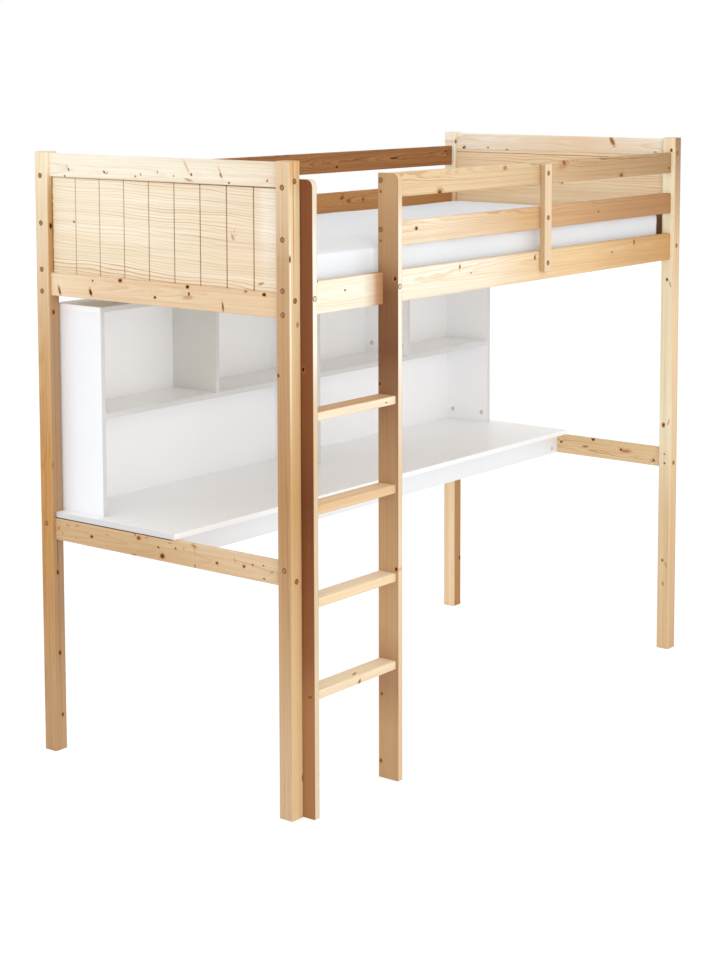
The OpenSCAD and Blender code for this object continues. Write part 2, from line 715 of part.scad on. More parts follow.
module post_dowel() cylinder_between(post_side - dowel_post, post_side + dowel_board, dowel_d);

module cover_caps() color(PINE_DARK) in_frame() {
    for (sx = [-1, 1]) for (sy = [-1, 1]) {
        for (z = long_bolt_z) on_post_x(sx, sy, z) cover_cap();
        for (z = end_bolt_z) on_post_y(sx, sy, z) cover_cap();
    }
    for (k = [0, 1]) on_stile_side(long_bolt_z[k]) cover_cap();
    for (x = [stile_left_x, stile_right_x]) on_stile_front(x) cover_cap();
    for (i = [0, 1]) for (z = strap_bolt_z) on_strap(i, z) cover_cap();
}

module cam_locks() color(WHITE) in_frame() {
    for (sx = [-1, 1]) case_cams(sx * case_in_x, -sx, desk_z, case_roof_z) cam_lock();
    case_cams(divider_x[0] + white_t, 1, shelf_top, case_roof_z) cam_lock();
    case_cams(divider_x[1] + white_t, 1, shelf_top, case_roof_z) cam_lock();
    case_cams(divider_x[2], -1, shelf_top, case_roof_z) cam_lock();
    case_cams(divider_x[1], -1, desk_z, shelf_z) cam_lock();
    apron_cams() cam_lock();
}

// ---- Mattress ----
// Rings of the mattress from the middle of its underside, over its side, to the middle of its top:
// each is the distance in from the outline and the height.
function mattress_rings() = let (
        e = mattress_edge,
        side = mattress_t - mattress_crown,
        mid = mattress_w / 2 - mattress_flat)
    concat(
        [[mid, 0], [mid / 2, 0], [e, 0]],
        [for (a = [20 : 20 : 80]) [e - e * sin(a), e - e * cos(a)]],
        [[0, e], [mattress_draw, side / 2], [0, side - e]],
        [for (a = [10 : 20 : 90]) [e - e * cos(a), side - e + e * sin(a)]],
        [for (f = [0.3, 0.6, 1]) [e + f * (mid - e), side + mattress_crown * sin(90 * f)]]);

// Outline of the mattress taken in by d, with points along its sides
function mattress_ring(d, z) = let (
        a = mattress_l / 2 - d,
        b = mattress_w / 2 - d,
        r = max(mattress_corner - d, mattress_least_r))
    concat(
        corner_points(a - r, b - r, r, 0, z),
        [for (f = [0.6, 0.2, -0.2, -0.6]) [f * (a - r), b, z]],
        corner_points(r - a, b - r, r, 90, z),
        [for (f = [0.5, -0.5]) [-a, f * (b - r), z]],
        corner_points(r - a, r - b, r, 180, z),
        [for (f = [-0.6, -0.2, 0.2, 0.6]) [f * (a - r), -b, z]],
        corner_points(a - r, r - b, r, 270, z),
        [for (f = [-0.5, 0.5]) [a, f * (b - r), z]]);

// Points of a quarter circle about x, y, from the angle start
function corner_points(x, y, r, start, z) =
    [for (i = [0 : 6]) [x + r * cos(start + 15 * i), y + r * sin(start + 15 * i), z]];

// Skin of triangles over the rings, closed by a fan about the middle of the underside and of the top
module mattress() color(WHITE) in_frame() translate([0, 0, mattress_z]) {
    rings = mattress_rings();
    n = len(mattress_ring(0, 0));
    last = (len(rings) - 1) * n;
    foot = last + n;
    crown = foot + 1;
    polyhedron(
        concat(
            [for (r = rings) each mattress_ring(r[0], r[1])],
            [[0, 0, 0], [0, 0, mattress_t]]),
        concat(
            [for (i = [0 : n - 1]) [foot, i, (i + 1) % n]],
            [for (k = [0 : n : last - n]) for (i = [0 : n - 1]) for (t = [0, 1])
                let (a = k + i, b = k + (i + 1) % n)
                    t == 0 ? [a, a + n, b] : [b, a + n, b + n]],
            [for (i = [0 : n - 1]) [crown, last + (i + 1) % n, last + i]]));
}

// ---- Every node ----
post(-1, 1);  // post_rear_left
post(-1, -1);  // post_front_left
post(1, -1);  // post_front_right
post(1, 1);  // post_rear_right
end_rail(-1, 0, end_top_z, -1);  // head_top_rail
end_rail(-1, 1, end_low_z, 1);  // head_lower_rail
end_panel(-1);  // head_panel
end_rail(-1, 2, desk_rail_z, 0);  // head_desk_rail
end_rail(1, 0, end_top_z, -1);  // foot_top_rail
end_rail(1, 1, end_low_z, 1);  // foot_lower_rail
end_panel(1);  // foot_panel
end_rail(1, 2, desk_rail_z, 0);  // foot_desk_rail
side_rail(-1);  // side_rail_front
side_rail(1);  // side_rail_rear
guard_rail(-1, 0);  // guard_front_upper
guard_rail(-1, 1);  // guard_front_lower
guard_rail(1, 0);  // guard_rear_upper
guard_rail(1, 1);  // guard_rear_lower
strap(0);  // guard_strap_front
strap(1);  // guard_strap_rear
ledger(-1);  // ledger_front
ledger(1);  // ledger_rear
for (i = [0 : slat_count - 1]) slat(i);
stile(false);  // ladder_stile_left
stile(true);  // ladder_stile_right
for (i = [0 : rung_count - 1]) rung(i);
desk_top();
desk_apron();
desk_rear_rail();
case_side(-1);  // case_side_left
case_side(1);  // case_side_right
case_top();
case_shelf();
case_divider(divider_x[0], shelf_top, case_roof_z, 1);  // case_divider_left
case_divider(divider_x[1], shelf_top, case_roof_z, 1);  // case_divider_middle
case_divider(divider_x[2], shelf_top, case_roof_z, -1);  // case_divider_right
case_divider(divider_x[1], desk_z, shelf_z, -1);  // case_divider_low
case_back();
mattress();
bolts();
nuts();
dowels();
cover_caps();
cam_locks();
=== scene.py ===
"""Cabin bed: knotty pine frame, white desk and bookcase, padded mattress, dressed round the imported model."""

import json
import logging
import math
import random
from dataclasses import dataclass
from enum import Enum
from typing import List, Optional, Sequence, Tuple

import bmesh
import bpy
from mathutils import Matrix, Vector, noise

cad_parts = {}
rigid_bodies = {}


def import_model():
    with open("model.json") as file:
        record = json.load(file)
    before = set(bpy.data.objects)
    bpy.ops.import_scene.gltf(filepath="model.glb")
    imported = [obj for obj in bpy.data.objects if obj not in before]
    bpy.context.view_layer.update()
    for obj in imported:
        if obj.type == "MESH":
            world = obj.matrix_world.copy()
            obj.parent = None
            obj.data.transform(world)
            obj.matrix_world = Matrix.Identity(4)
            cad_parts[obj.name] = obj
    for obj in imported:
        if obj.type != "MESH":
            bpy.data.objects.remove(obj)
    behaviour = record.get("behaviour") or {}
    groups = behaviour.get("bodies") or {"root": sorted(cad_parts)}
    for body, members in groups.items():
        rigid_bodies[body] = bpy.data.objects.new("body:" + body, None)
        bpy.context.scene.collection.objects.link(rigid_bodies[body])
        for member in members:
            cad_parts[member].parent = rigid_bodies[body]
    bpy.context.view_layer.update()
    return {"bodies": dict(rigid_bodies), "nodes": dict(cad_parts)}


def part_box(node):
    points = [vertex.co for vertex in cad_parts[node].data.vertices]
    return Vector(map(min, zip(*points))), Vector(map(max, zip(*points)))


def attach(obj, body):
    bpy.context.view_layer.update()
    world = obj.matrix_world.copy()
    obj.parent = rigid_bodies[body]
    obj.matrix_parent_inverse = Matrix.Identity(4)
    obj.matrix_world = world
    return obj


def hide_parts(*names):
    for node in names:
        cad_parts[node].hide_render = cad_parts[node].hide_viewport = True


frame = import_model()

LOG = logging.getLogger("cabin_bed")
BODY = next(iter(frame["bodies"]))
Color = Tuple[int, int, int]
Linear = Tuple[float, float, float]
Point = Tuple[float, float, float]
Shares = Tuple[float, ...]
Socket = bpy.types.NodeSocket
WHITE = (1.0, 1.0, 1.0, 1.0)
TOUCH = 1e-5
KNOT_UNIT = 0.00115
SHARP = math.radians(50)
DARKER = (0.74, 0.64, 0.54)


def shade(red: int, green: int, blue: int) -> Linear:
    """Linear colour of a screen colour.

    Args:
        red: Red from 0 to 255.
        green: Green from 0 to 255.
        blue: Blue from 0 to 255.

    Returns:
        The colour as three linear values from 0 to 1.
    """
    def line(value: int) -> float:
        """Linear value of one channel."""
        part = value / 255
        return part / 12.92 if part <= 0.04045 else ((part + 0.055) / 1.055) ** 2.4

    return line(red), line(green), line(blue)


class Axis(Enum):
    """Directions of the bed: along it, across it, and up."""

    LENGTH = 0
    WIDTH = 1
    HEIGHT = 2


# ---- Finishes ----------------------------------------------------------------------------------


class Nodes:
    """Node tree of a finish, with a short method for each kind of node."""

    def __init__(self, tree: bpy.types.NodeTree) -> None:
        """Takes the tree that the nodes go into."""
        self.tree = tree

    def put(self, socket: Socket, value: object) -> None:
        """Links a socket, or sets it to a plain value.

        Args:
            socket: The socket.
            value: What it gets.
        """
        if isinstance(value, Socket):
            self.tree.links.new(value, socket)
        elif socket.type == "RGBA" and len(value) == 3:
            socket.default_value = (*value, 1.0)
        else:
            socket.default_value = value

    def node(self, kind: str, *values: object, **settings: object) -> bpy.types.Node:
        """Adds a node.

        Args:
            kind: Kind of node, without its first words.
            values: What its first sockets get, or None where a socket is left alone.
            settings: Its other settings.

        Returns:
            The node.
        """
        node = self.tree.nodes.new("ShaderNode" + kind)
        for name, setting in settings.items():
            setattr(node, name, setting)
        for socket, value in zip(node.inputs, values):
            if value is not None:
                self.put(socket, value)
        return node

    def math(self, kind: str, first: object, second: object = 0.0, clamp: bool = False) -> Socket:
        """Result of an operation on two numbers, kept from 0 to 1 where it is clamped."""
        return self.node("Math", first, second, operation=kind, use_clamp=clamp).outputs[0]

    def plus(self, first: object, second: object) -> Socket:
        """Sum of two numbers."""
        return self.math("ADD", first, second)

    def minus(self, first: object, second: object) -> Socket:
        """Difference of two numbers."""
        return self.math("SUBTRACT", first, second)

    def times(self, first: object, second: object) -> Socket:
        """Product of two numbers."""
        return self.math("MULTIPLY", first, second)

    def size(self, value: object) -> Socket:
        """Number without its sign."""
        return self.math("ABSOLUTE", value)

    def swing(self, pattern: object, reach: float) -> Socket:
        """Pattern about a half, turned into one about nought with the given reach."""
        return self.times(self.minus(pattern, 0.5), reach)

    def vector(self, kind: str, first: object, second: object = (0.0, 0.0, 0.0)) -> Socket:
        """Result of an operation on two vectors: a number for LENGTH and DOT_PRODUCT, or a vector."""
        node = self.node("VectorMath", first, second, operation=kind)
        return node.outputs["Value" if kind in ("LENGTH", "DOT_PRODUCT") else "Vector"]

    def split(self, vector: object) -> List[Socket]:
        """The three parts of a vector."""
        return list(self.node("SeparateXYZ", vector).outputs)

    def join(self, first: object, second: object, third: object) -> Socket:
        """Vector of three parts."""
        return self.node("CombineXYZ", first, second, third).outputs[0]

    def noise(self, vector: object, scale: float, detail: float = 2.0, rough: float = 0.5,
              color: bool = False) -> Socket:
        """Cloudy pattern.

        Args:
            vector: Where the pattern is read.
            scale: Patches to the metre.
            detail: Number of finer layers.
            rough: Strength of the finer layers.
            color: Whether to give three patterns as a colour.

        Returns:
            The pattern's socket, about 0.5 in the middle.
        """
        node = self.node("TexNoise", vector)
        for name, value in (("Scale", scale), ("Detail", detail), ("Roughness", rough)):
            node.inputs[name].default_value = value
        return node.outputs["Color" if color else "Fac"]

    def rounded(self, radius: float) -> Socket:
        """Normal of the surface as it would be with its edges rounded."""
        return self.node("Bevel", radius, samples=4).outputs[0]

    def chance(self, number: object) -> Socket:
        """Random value from 0 to 1, the same for the same number.

        Args:
            number: Number or socket.

        Returns:
            The value's socket.
        """
        node = self.node("TexWhiteNoise", noise_dimensions="1D")
        self.put(node.inputs["W"], number)
        return node.outputs["Value"]

    def blend(self, share: object, first: object, second: object, kind: str = "MIX") -> Socket:
        """Mix of two colours, with the share of the second one and the way in which they mix.

        Args:
            share: Share of the second colour.
            first: First colour.
            second: Second colour.
            kind: Way in which they mix.

        Returns:
            The mixed colour's socket.
        """
        node = self.node("Mix", share, data_type="RGBA", blend_type=kind)
        self.put(node.inputs[6], first)
        self.put(node.inputs[7], second)
        return node.outputs[2]

    def toned(self, color: Color, tone: object) -> Socket:
        """Screen colour times a grey tone."""
        return self.blend(1.0, shade(*color), self.join(tone, tone, tone), "MULTIPLY")

    def ease(self, value: object, low: float, high: float, start: float = 0.0, end: float = 1.0) -> Socket:
        """Smooth step of a value.

        Args:
            value: Number or socket that is stepped.
            low: Value at which the step starts.
            high: Value at which it ends.
            start: Result below the step.
            end: Result above it.

        Returns:
            The result's socket.
        """
        return self.node("MapRange", value, low, high, start, end, interpolation_type="SMOOTHSTEP").outputs[0]

    def ramp(self, share: object, stops: Sequence[Tuple[float, float]]) -> Socket:
        """Curve of grey values over a share, given as pairs of place and value.

        Args:
            share: Number or socket from 0 to 1.
            stops: Pairs of place and value.

        Returns:
            The value's socket.
        """
        node = self.node("ValToRGB", share)
        band = node.color_ramp
        while len(band.elements) < len(stops):
            band.elements.new(0.5)
        for stop, (place, value) in zip(band.elements, stops):
            stop.position = place
            stop.color = (value, value, value, 1.0)
        return node.outputs[0]

    def group(self, tree: bpy.types.NodeTree, **values: object) -> List[Socket]:
        """Uses a node group and gives its outputs.

        Args:
            tree: The group.
            values: What its sockets get.

        Returns:
            Its output sockets.
        """
        node = self.node("Group", node_tree=tree)
        for name, value in values.items():
            self.put(node.inputs[name], value)
        return list(node.outputs)


class Recipe(Nodes):
    """Node tree of a material, with its point, its normal and its shader."""

    def __init__(self, name: str) -> None:
        """Starts a material with a bare shader.

        Args:
            name: Name of the material.
        """
        self.material = bpy.data.materials.new(name)
        self.material.use_nodes = True
        super().__init__(self.material.node_tree)
        self.tree.nodes.clear()
        self.shader = self.node("BsdfPrincipled")
        self.node("OutputMaterial", self.shader.outputs["BSDF"])
        self.point = self.node("TexCoord").outputs["Object"]
        self.normal = self.node("NewGeometry").outputs["Normal"]

    def bump(self, height: object, strength: float, distance: float) -> None:
        """Raises the surface by a pattern, with its strength and height in metres.

        Args:
            height: The pattern.
            strength: Share of the full effect.
            distance: Height of the pattern in metres.
        """
        node = self.node("Bump")
        for name, value in (("Strength", strength), ("Distance", distance), ("Height", height)):
            self.put(node.inputs[name], value)
        self.put(self.shader.inputs["Normal"], node.outputs[0])

    def surface(self, **values: object) -> bpy.types.Material:
        """Sets the shader's sockets, named in lower case with underscores, and gives the material."""
        for name, value in values.items():
            wanted = name.replace("_", " ").lower()
            self.put(next(s for s in self.shader.inputs if s.name.lower() == wanted), value)
        return self.material


@dataclass(frozen=True)
class Knot:
    """Branch that was sawn through: place, radius, the way it runs, length to width, darkness, lean and strength.

    The lean is the angle in degrees from the grain to the knot's long side.
    """

    place: Point
    radius: float = 0.005
    through: Axis = Axis.WIDTH
    stretch: float = 1.3
    dark: float = 0.8
    lean: float = 0.0
    share: float = 1.0

    def grips(self, grain: Axis) -> Tuple[Point, Point]:
        """Vectors that measure how far a point lies from the knot, lengthwise and crosswise.

        Args:
            grain: The way that the board's fibres run.

        Returns:
            The two vectors, each one over the knot's reach that way.
        """
        other = next(a for a in range(3) if a not in (grain.value, self.through.value))
        turn = math.radians(self.lean)
        along, across = [0.0, 0.0, 0.0], [0.0, 0.0, 0.0]
        along[grain.value], along[other] = math.cos(turn), math.sin(turn)
        across[grain.value], across[other] = -math.sin(turn), math.cos(turn)
        reach = self.radius * self.stretch
        return tuple(v / reach for v in along), tuple(v / self.radius for v in across)


@dataclass(frozen=True)
class StainAndShade:
    """Riper or darker wood, and also painted shade and painted highlights: its colour, its share along the grain, and
    where it lies across the board.

    The shares are places along the grain, each with its share after it. With no axis the stain goes all
    through. With a width it is a band about start, and otherwise it is full at start and gone at end. Late
    wood gets a darker tone of the colour, or the late colour where one is given. An inner stain lies on an
    end panel's inner face alone.
    """

    color: Color
    shares: Shares
    axis: Optional[Axis] = None
    start: float = 0.0
    end: float = 0.0
    width: float = 0.0
    late: Optional[Color] = None
    inner: bool = False

    def late_tone(self) -> Linear:
        """Linear colour of the stained late wood."""
        return shade(*self.late) if self.late else tuple(v * k for v, k in zip(shade(*self.color), DARKER))


def dress(node: str, material: bpy.types.Material) -> None:
    """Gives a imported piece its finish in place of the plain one.

    Args:
        node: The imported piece.
        material: Its finish.
    """
    mesh = frame["nodes"][node].data
    mesh.materials.clear()
    mesh.materials.append(material)
    LOG.info("dressed %s with %s", node, material.name)


def middle_of(node: str) -> Vector:
    """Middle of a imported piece's box."""
    low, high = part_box(node)
    return (low + high) / 2


@dataclass(frozen=True)
class Pine:
    """Lacquered knotty pine of one board, sawn from a log whose middle lies at an offset from the board's.

    Late wood is the dark part of each growth ring. The pitch is the width of a ring, the figure its strength,
    faint the least part of that strength, and sway, slant and wave the ways in which the rings wander.
    """

    node: str
    grain: Axis
    offset: Tuple[float, float]
    pale: Color = (238, 211, 170)
    late: Color = (205, 158, 103)
    pitch: float = 0.003
    figure: float = 0.55
    sway: float = 0.012
    slant: float = 0.012
    knots: Tuple[Knot, ...] = ()
    stains_and_shades: Tuple[StainAndShade, ...] = ()
    grooves: Optional[Tuple[float, float]] = None
    seed: float = 0.0
    wave: float = 0.002
    faint: float = 0.3
    late_share: float = 0.58
    # Strength of the painted shade along arrises and where faces meet.
    edge_shade: float = 0.6
    rough: float = 0.5
    streaks: float = 0.42
    mean_tone: float = 0.9325
    ripple: float = 0.0028
    knot_bend: float = 0.006
    knot_usual: float = 0.008
    # Reach of the painted shade along arrises.
    edge_shade_radius: float = 0.0035
    inner_face: Tuple[float, float] = (1.0115, 1.0135)
    rim_tone: Color = (186, 118, 50)
    live_knot: Tuple[Color, Color] = ((160, 94, 34), (188, 124, 58))
    dead_knot: Tuple[Color, Color] = ((26, 11, 3), (68, 36, 14))
    end_tone: Color = (196, 148, 98)
    # Colour of the painted shade along arrises.
    edge_shade_tone: Color = (128, 84, 48)
    # Colour of the painted shade in the grooves.
    groove_shade_tone: Color = (112, 72, 42)

    def dress(self) -> None:
        """Makes the board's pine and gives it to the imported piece."""
        dress(self.node, self.material())

    @staticmethod
    def knot_group() -> bpy.types.NodeTree:
        """Node group that measures how near a point is to a knot.

        Returns:
            The group: Mask is the knot, Rim the brown wood about it, and Halo the wood that bends round it.
        """
        found = bpy.data.node_groups.get("knot_shape")
        if found:
            return found
        n = Nodes(bpy.data.node_groups.new("knot_shape", "ShaderNodeTree"))
        sockets = [(name, "INPUT", "Vector") for name in ("Point", "Place", "Along", "Across")]
        sockets += [("Ragged", "INPUT", "Float")] + [(name, "OUTPUT", "Float") for name in ("Mask", "Rim", "Halo")]
        for name, way, kind in sockets:
            n.tree.interface.new_socket(name=name, in_out=way, socket_type="NodeSocket" + kind)
        source, sink = n.tree.nodes.new("NodeGroupInput").outputs, n.tree.nodes.new("NodeGroupOutput").inputs
        offset = n.vector("SUBTRACT", source["Point"], source["Place"])
        parts = [n.vector("DOT_PRODUCT", offset, source[name]) for name in ("Along", "Across")]
        away = n.plus(n.vector("LENGTH", n.join(*parts, 0.0)), source["Ragged"])
        for name, low, high in (("Mask", 0.7, 1.15), ("Rim", 0.8, 1.9), ("Halo", 0.4, 3.6)):
            n.put(sink[name], n.ease(away, low, high, 1.0, 0.0))
        return n.tree

    def material(self) -> bpy.types.Material:
        """Builds the wood: growth rings, fibres, knots, stain and shade marks, painted shade in the grooves, end grain,
        and painted shade along the arrises and where faces meet.

        Returns:
            The material.
        """
        r = Recipe("pine_" + self.node)
        mask, dark, rim, halo = self._knots(r)
        shift = r.vector("ADD", r.point, (self.seed, self.seed * 0.7, self.seed * 1.3))
        ring = self._rings(r, shift, halo)
        clear = self._pattern(r, shift, 9.0, 1.6, 1.0)
        strength = r.times(r.ease(clear, 0.35, 0.65, self.faint, 1.0), self.figure)
        fibre = self._pattern(r, shift, 620.0, 11.0, 3.0, 0.6)
        streak = self._pattern(r, shift, 165.0, 1.8, 3.0, 0.65)
        band = self._pattern(r, shift, 46.0, 0.9, 2.0, 0.55)
        early, late = self._stained_and_shaded(r)
        color = r.blend(r.times(ring, strength), early, late)
        tone = r.ease(band, 0.25, 0.75, 0.88, 0.985)
        for pattern, reach in ((fibre, 0.18), (streak, self.streaks)):
            tone = r.plus(tone, r.swing(pattern, reach))
        ratio = r.times(tone, 1 / self.mean_tone)
        warm = [r.times(r.math("POWER", ratio, power), self.mean_tone) for power in (0.5, 1.0, 1.6)]
        color = r.blend(1.0, color, r.join(*warm), "MULTIPLY")
        color = r.blend(r.times(rim, 0.62), color, shade(*self.rim_tone))
        speck = r.noise(r.point, 420.0, 2.0)
        core = [r.blend(speck, shade(*first), shade(*second)) for first, second in (self.live_knot, self.dead_knot)]
        color = r.blend(mask, color, r.blend(dark, *core))
        # Painted shade in the grooves of the panels.
        if self.grooves:
            color = self._shade_grooves(r, color)
        end = r.ease(r.size(r.split(r.normal)[self.grain.value]), 0.75, 0.95)
        color = r.blend(r.times(end, 0.45), color, r.blend(0.5, shade(*self.late), shade(*self.end_tone)))
        # Painted shade: arrises and joins between faces are darkened, standing in for the shade in their gaps.
        edge_shade = r.ease(r.vector("DOT_PRODUCT", r.rounded(self.edge_shade_radius), r.normal), 0.74, 0.98, self.edge_shade, 0.0)
        color = r.blend(edge_shade, color, shade(*self.edge_shade_tone))
        height = r.minus(r.times(fibre, 0.5), r.times(ring, 0.1))
        r.bump(r.plus(height, r.times(mask, 0.5)), 0.22, 0.0006)
        gloss = r.plus(self.rough, r.swing(fibre, 0.2))
        return r.surface(base_color=color, roughness=gloss, coat_weight=0.02, coat_roughness=0.3, ior=1.45,
                         specular_ior_level=0.16)

    def _pattern(self, r: Recipe, place: object, across: float, along: float, detail: float,
                 rough: float = 0.5, color: bool = False) -> Socket:
        """Cloudy pattern with one scale across the grain and another along it.

        Args:
            r: The recipe that the nodes go into.
            place: Where the pattern is read.
            across: Patches to the metre across the grain.
            along: Patches to the metre along it.
            detail: Number of finer layers.
            rough: Strength of the finer layers.
            color: Whether to give three patterns as a colour.

        Returns:
            The pattern's socket.
        """
        scale = [across, across, across]
        scale[self.grain.value] = along
        return r.noise(r.vector("MULTIPLY", place, tuple(scale)), 1.0, detail, rough, color)

    def _rings(self, r: Recipe, shift: object, halo: object) -> Socket:
        """Growth rings about the wandering middle of the log: nought in early wood and one in late wood.

        Args:
            r: The recipe that the nodes go into.
            shift: Point moved to a place in the patterns.
            halo: Halos of the knots.

        Returns:
            The rings' socket.
        """
        parts, middles = r.split(r.point), list(middle_of(self.node))
        along = parts.pop(self.grain.value)
        middles.pop(self.grain.value)
        wander = r.split(self._pattern(r, shift, 5.5, 0.9, 1.5, color=True))
        bend = self._pattern(r, shift, 13.0, 4.4, 1.0)
        ripple = self._pattern(r, shift, 75.0, 14.0, 2.0)
        across = []
        for part, middle, offset, drift, lean in zip(parts, middles, self.offset, wander, (1.0, -0.4)):
            moved = r.plus(r.plus(part, -(middle + offset)), r.times(along, lean * self.slant))
            across.append(r.plus(moved, r.swing(drift, 2 * self.sway)))
        radius = r.vector("LENGTH", r.join(*across, 0.0))
        for pattern, reach in ((bend, 2 * self.wave), (ripple, self.ripple)):
            radius = r.plus(radius, r.swing(pattern, reach))
        radius = r.plus(radius, r.times(halo, self.knot_bend))
        uneven = r.noise(r.join(radius, self.seed, 0.0), 0.4 / self.pitch, 1.0)
        years = r.plus(r.times(radius, 1 / self.pitch), r.times(uneven, 1.5))
        stops = [(1 - self.late_share * part, value) for part, value in ((1.0, 0.08), (0.48, 0.75), (0.17, 1.0))]
        line = r.ramp(r.math("FRACT", years), [(0.0, 0.0), *stops, (1.0, 0.0)])
        return r.times(line, r.ease(r.chance(r.math("FLOOR", years)), 0.0, 1.0, 0.4, 1.1))

    def _stained_and_shaded(self, r: Recipe) -> Tuple[object, object]:
        """Colours of early and late wood, with each stain, painted shade and painted highlight mixed in.

        Args:
            r: The recipe that the nodes go into.

        Returns:
            The colour of early wood and the colour of late wood.
        """
        early: object = shade(*self.pale)
        late: object = shade(*self.late)
        coordinates = r.split(r.point)
        along = coordinates[self.grain.value]
        uneven = r.minus(self._pattern(r, r.point, 60.0, 2.2, 2.0), 0.5)
        for stain in self.stains_and_shades:
            places = stain.shares[::2]
            first, reach = places[0], places[-1] - places[0]
            part = r.math("MULTIPLY", r.minus(along, first), 1 / reach, clamp=True)
            share = r.ramp(part, [((a - first) / reach, b) for a, b in zip(places, stain.shares[1::2])])
            if stain.axis is not None:
                level = coordinates[stain.axis.value]
                if stain.width:
                    level = r.plus(level, r.times(uneven, stain.width * 1.5))
                    away = r.size(r.minus(level, stain.start))
                    near = r.ease(away, stain.width * 0.5, stain.width * 1.3, 1.0, 0.0)
                else:
                    near = r.ease(level, stain.start, stain.end, 1.0, 0.0)
                share = r.times(share, near)
            if stain.inner:
                depth = r.size(coordinates[Axis.LENGTH.value])
                share = r.times(share, r.ease(depth, *self.inner_face, 1.0, 0.0))
            early = r.blend(share, early, shade(*stain.color))
            late = r.blend(share, late, stain.late_tone())
        return early, late

    def _shade_grooves(self, r: Recipe, color: object) -> Socket:
        """Paints shade into the bottoms of the upright grooves in the panel's outer face, the more so to the right
        where less light falls.

        Args:
            r: The recipe that the nodes go into.
            color: Colour of the wood.

        Returns:
            The new colour.
        """
        first, pitch = self.grooves
        level = r.split(r.point)[Axis.WIDTH.value]
        turn = r.math("FRACT", r.times(r.minus(level, first - pitch / 2), 1 / pitch))
        deep = r.ease(r.times(r.size(r.minus(turn, 0.5)), pitch), 0.0008, 0.0021, 1.0, 0.0)
        outer = r.ease(r.size(r.split(r.point)[Axis.LENGTH.value]), *self.inner_face)
        # Painted shade in the groove bottoms, the more so to the right.
        share = r.times(r.times(deep, outer), r.ease(level, -0.3, 0.4, 0.9, 0.45))
        return r.blend(share, color, shade(*self.groove_shade_tone))

    def _knots(self, r: Recipe) -> Tuple[object, object, object, object]:
        """Adds up the board's knots.

        Args:
            r: The recipe that they are added to.

        Returns:
            The knots' mask, their darkness, their brown rims and the halos that bend the rings.
        """
        mask: object = 0.0
        dark: object = 0.0
        rim: object = 0.0
        halo: object = 0.0
        ragged = r.swing(r.noise(r.point, 190.0, 2.0), 0.9) if self.knots else 0.0
        for knot in self.knots:
            along, across = knot.grips(self.grain)
            found = r.group(self.knot_group(), Point=r.point, Place=knot.place, Along=along, Across=across,
                            Ragged=ragged)
            mask = r.math("MAXIMUM", mask, r.times(found[0], knot.share))
            dark = r.math("MAXIMUM", dark, r.times(found[0], knot.dark))
            rim = r.math("MAXIMUM", rim, r.times(found[1], knot.share))
            halo = r.plus(halo, r.times(found[2], knot.share * knot.radius / self.knot_usual))
        return mask, dark, rim, halo


@dataclass(frozen=True)
class WhiteBoard:
    """White melamine on chipboard, with a faint pebble, a hairline at the edge bands and painted shade on the edge
    faces.
    """

    name: str
    color: Color = (254, 254, 255)
    band_front: Optional[float] = None
    rough: float = 0.34
    gloss: float = 0.45
    # Grey of the painted shade on the edge faces.
    edge: Color = (215, 215, 216)
    seam: Color = (176, 172, 166)
    band: float = 0.001
    shaded_face_axis: Optional[Axis] = None

    def dress(self) -> None:
        """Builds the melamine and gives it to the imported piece."""
        r = Recipe("white_" + self.name)
        color = r.toned(self.color, r.ease(r.noise(r.point, 7.0, 2.0), 0.3, 0.7, 0.985, 1.0))
        if self.band_front is not None:
            gap = r.size(r.minus(r.split(r.point)[1], self.band_front + self.band))
            color = r.blend(r.ease(gap, 0.0001, 0.0005, 0.35, 0.0), color, shade(*self.seam))
        # Painted shade: the faces that look along this axis, the board's edges, are greyed.
        if self.shaded_face_axis is not None:
            facing = r.size(r.split(r.normal)[self.shaded_face_axis.value])
            color = r.blend(r.ease(facing, 0.7, 0.9), color, shade(*self.edge))
        pebble = r.noise(r.point, 900.0, 1.0)
        r.bump(pebble, 0.12, 0.0002)
        gloss = r.plus(self.rough, r.swing(pebble, 0.1))
        dress(self.name, r.surface(base_color=color, roughness=gloss, ior=1.5, specular_ior_level=self.gloss))


@dataclass(frozen=True)
class MattressCover:
    """Close white cotton with a fine weave, a soft sheen and painted shade on its top."""

    name: str = "mattress_cover"
    color: Color = (241, 247, 253)
    # Grey of the painted shade on the top faces.
    top_shade_color: Color = (229, 232, 236)
    threads: float = 760.0

    def material(self) -> bpy.types.Material:
        """Builds the cotton.

        Returns:
            The material.
        """
        r = Recipe(self.name)
        x, y, z = r.split(r.point)
        side = r.ease(r.size(r.split(r.normal)[2]), 0.4, 0.8)
        warp = r.math("SINE", r.times(x, self.threads * math.pi))
        weft_at = r.plus(r.times(y, side), r.times(z, r.minus(1.0, side)))
        weave = r.times(warp, r.math("SINE", r.times(weft_at, self.threads * math.pi)))
        slub = r.noise(r.vector("MULTIPLY", r.point, (30.0, 420.0, 420.0)), 1.0, 2.0)
        tone = r.plus(r.ease(r.noise(r.point, 4.5, 2.0), 0.3, 0.7, 0.965, 1.0), r.times(weave, 0.012))
        tone = r.plus(tone, r.swing(slub, 0.03))
        # Painted shade: faces that look up get the greyer top colour.
        color = r.blend(r.ease(r.split(r.normal)[2], 0.45, 0.85), shade(*self.color), shade(*self.top_shade_color))
        color = r.blend(1.0, color, r.join(tone, tone, tone), "MULTIPLY")
        r.bump(r.plus(weave, r.times(slub, 0.8)), 0.3, 0.0005)
        return r.surface(base_color=color, roughness=0.9, sheen_weight=0.25, sheen_roughness=0.5, ior=1.4)


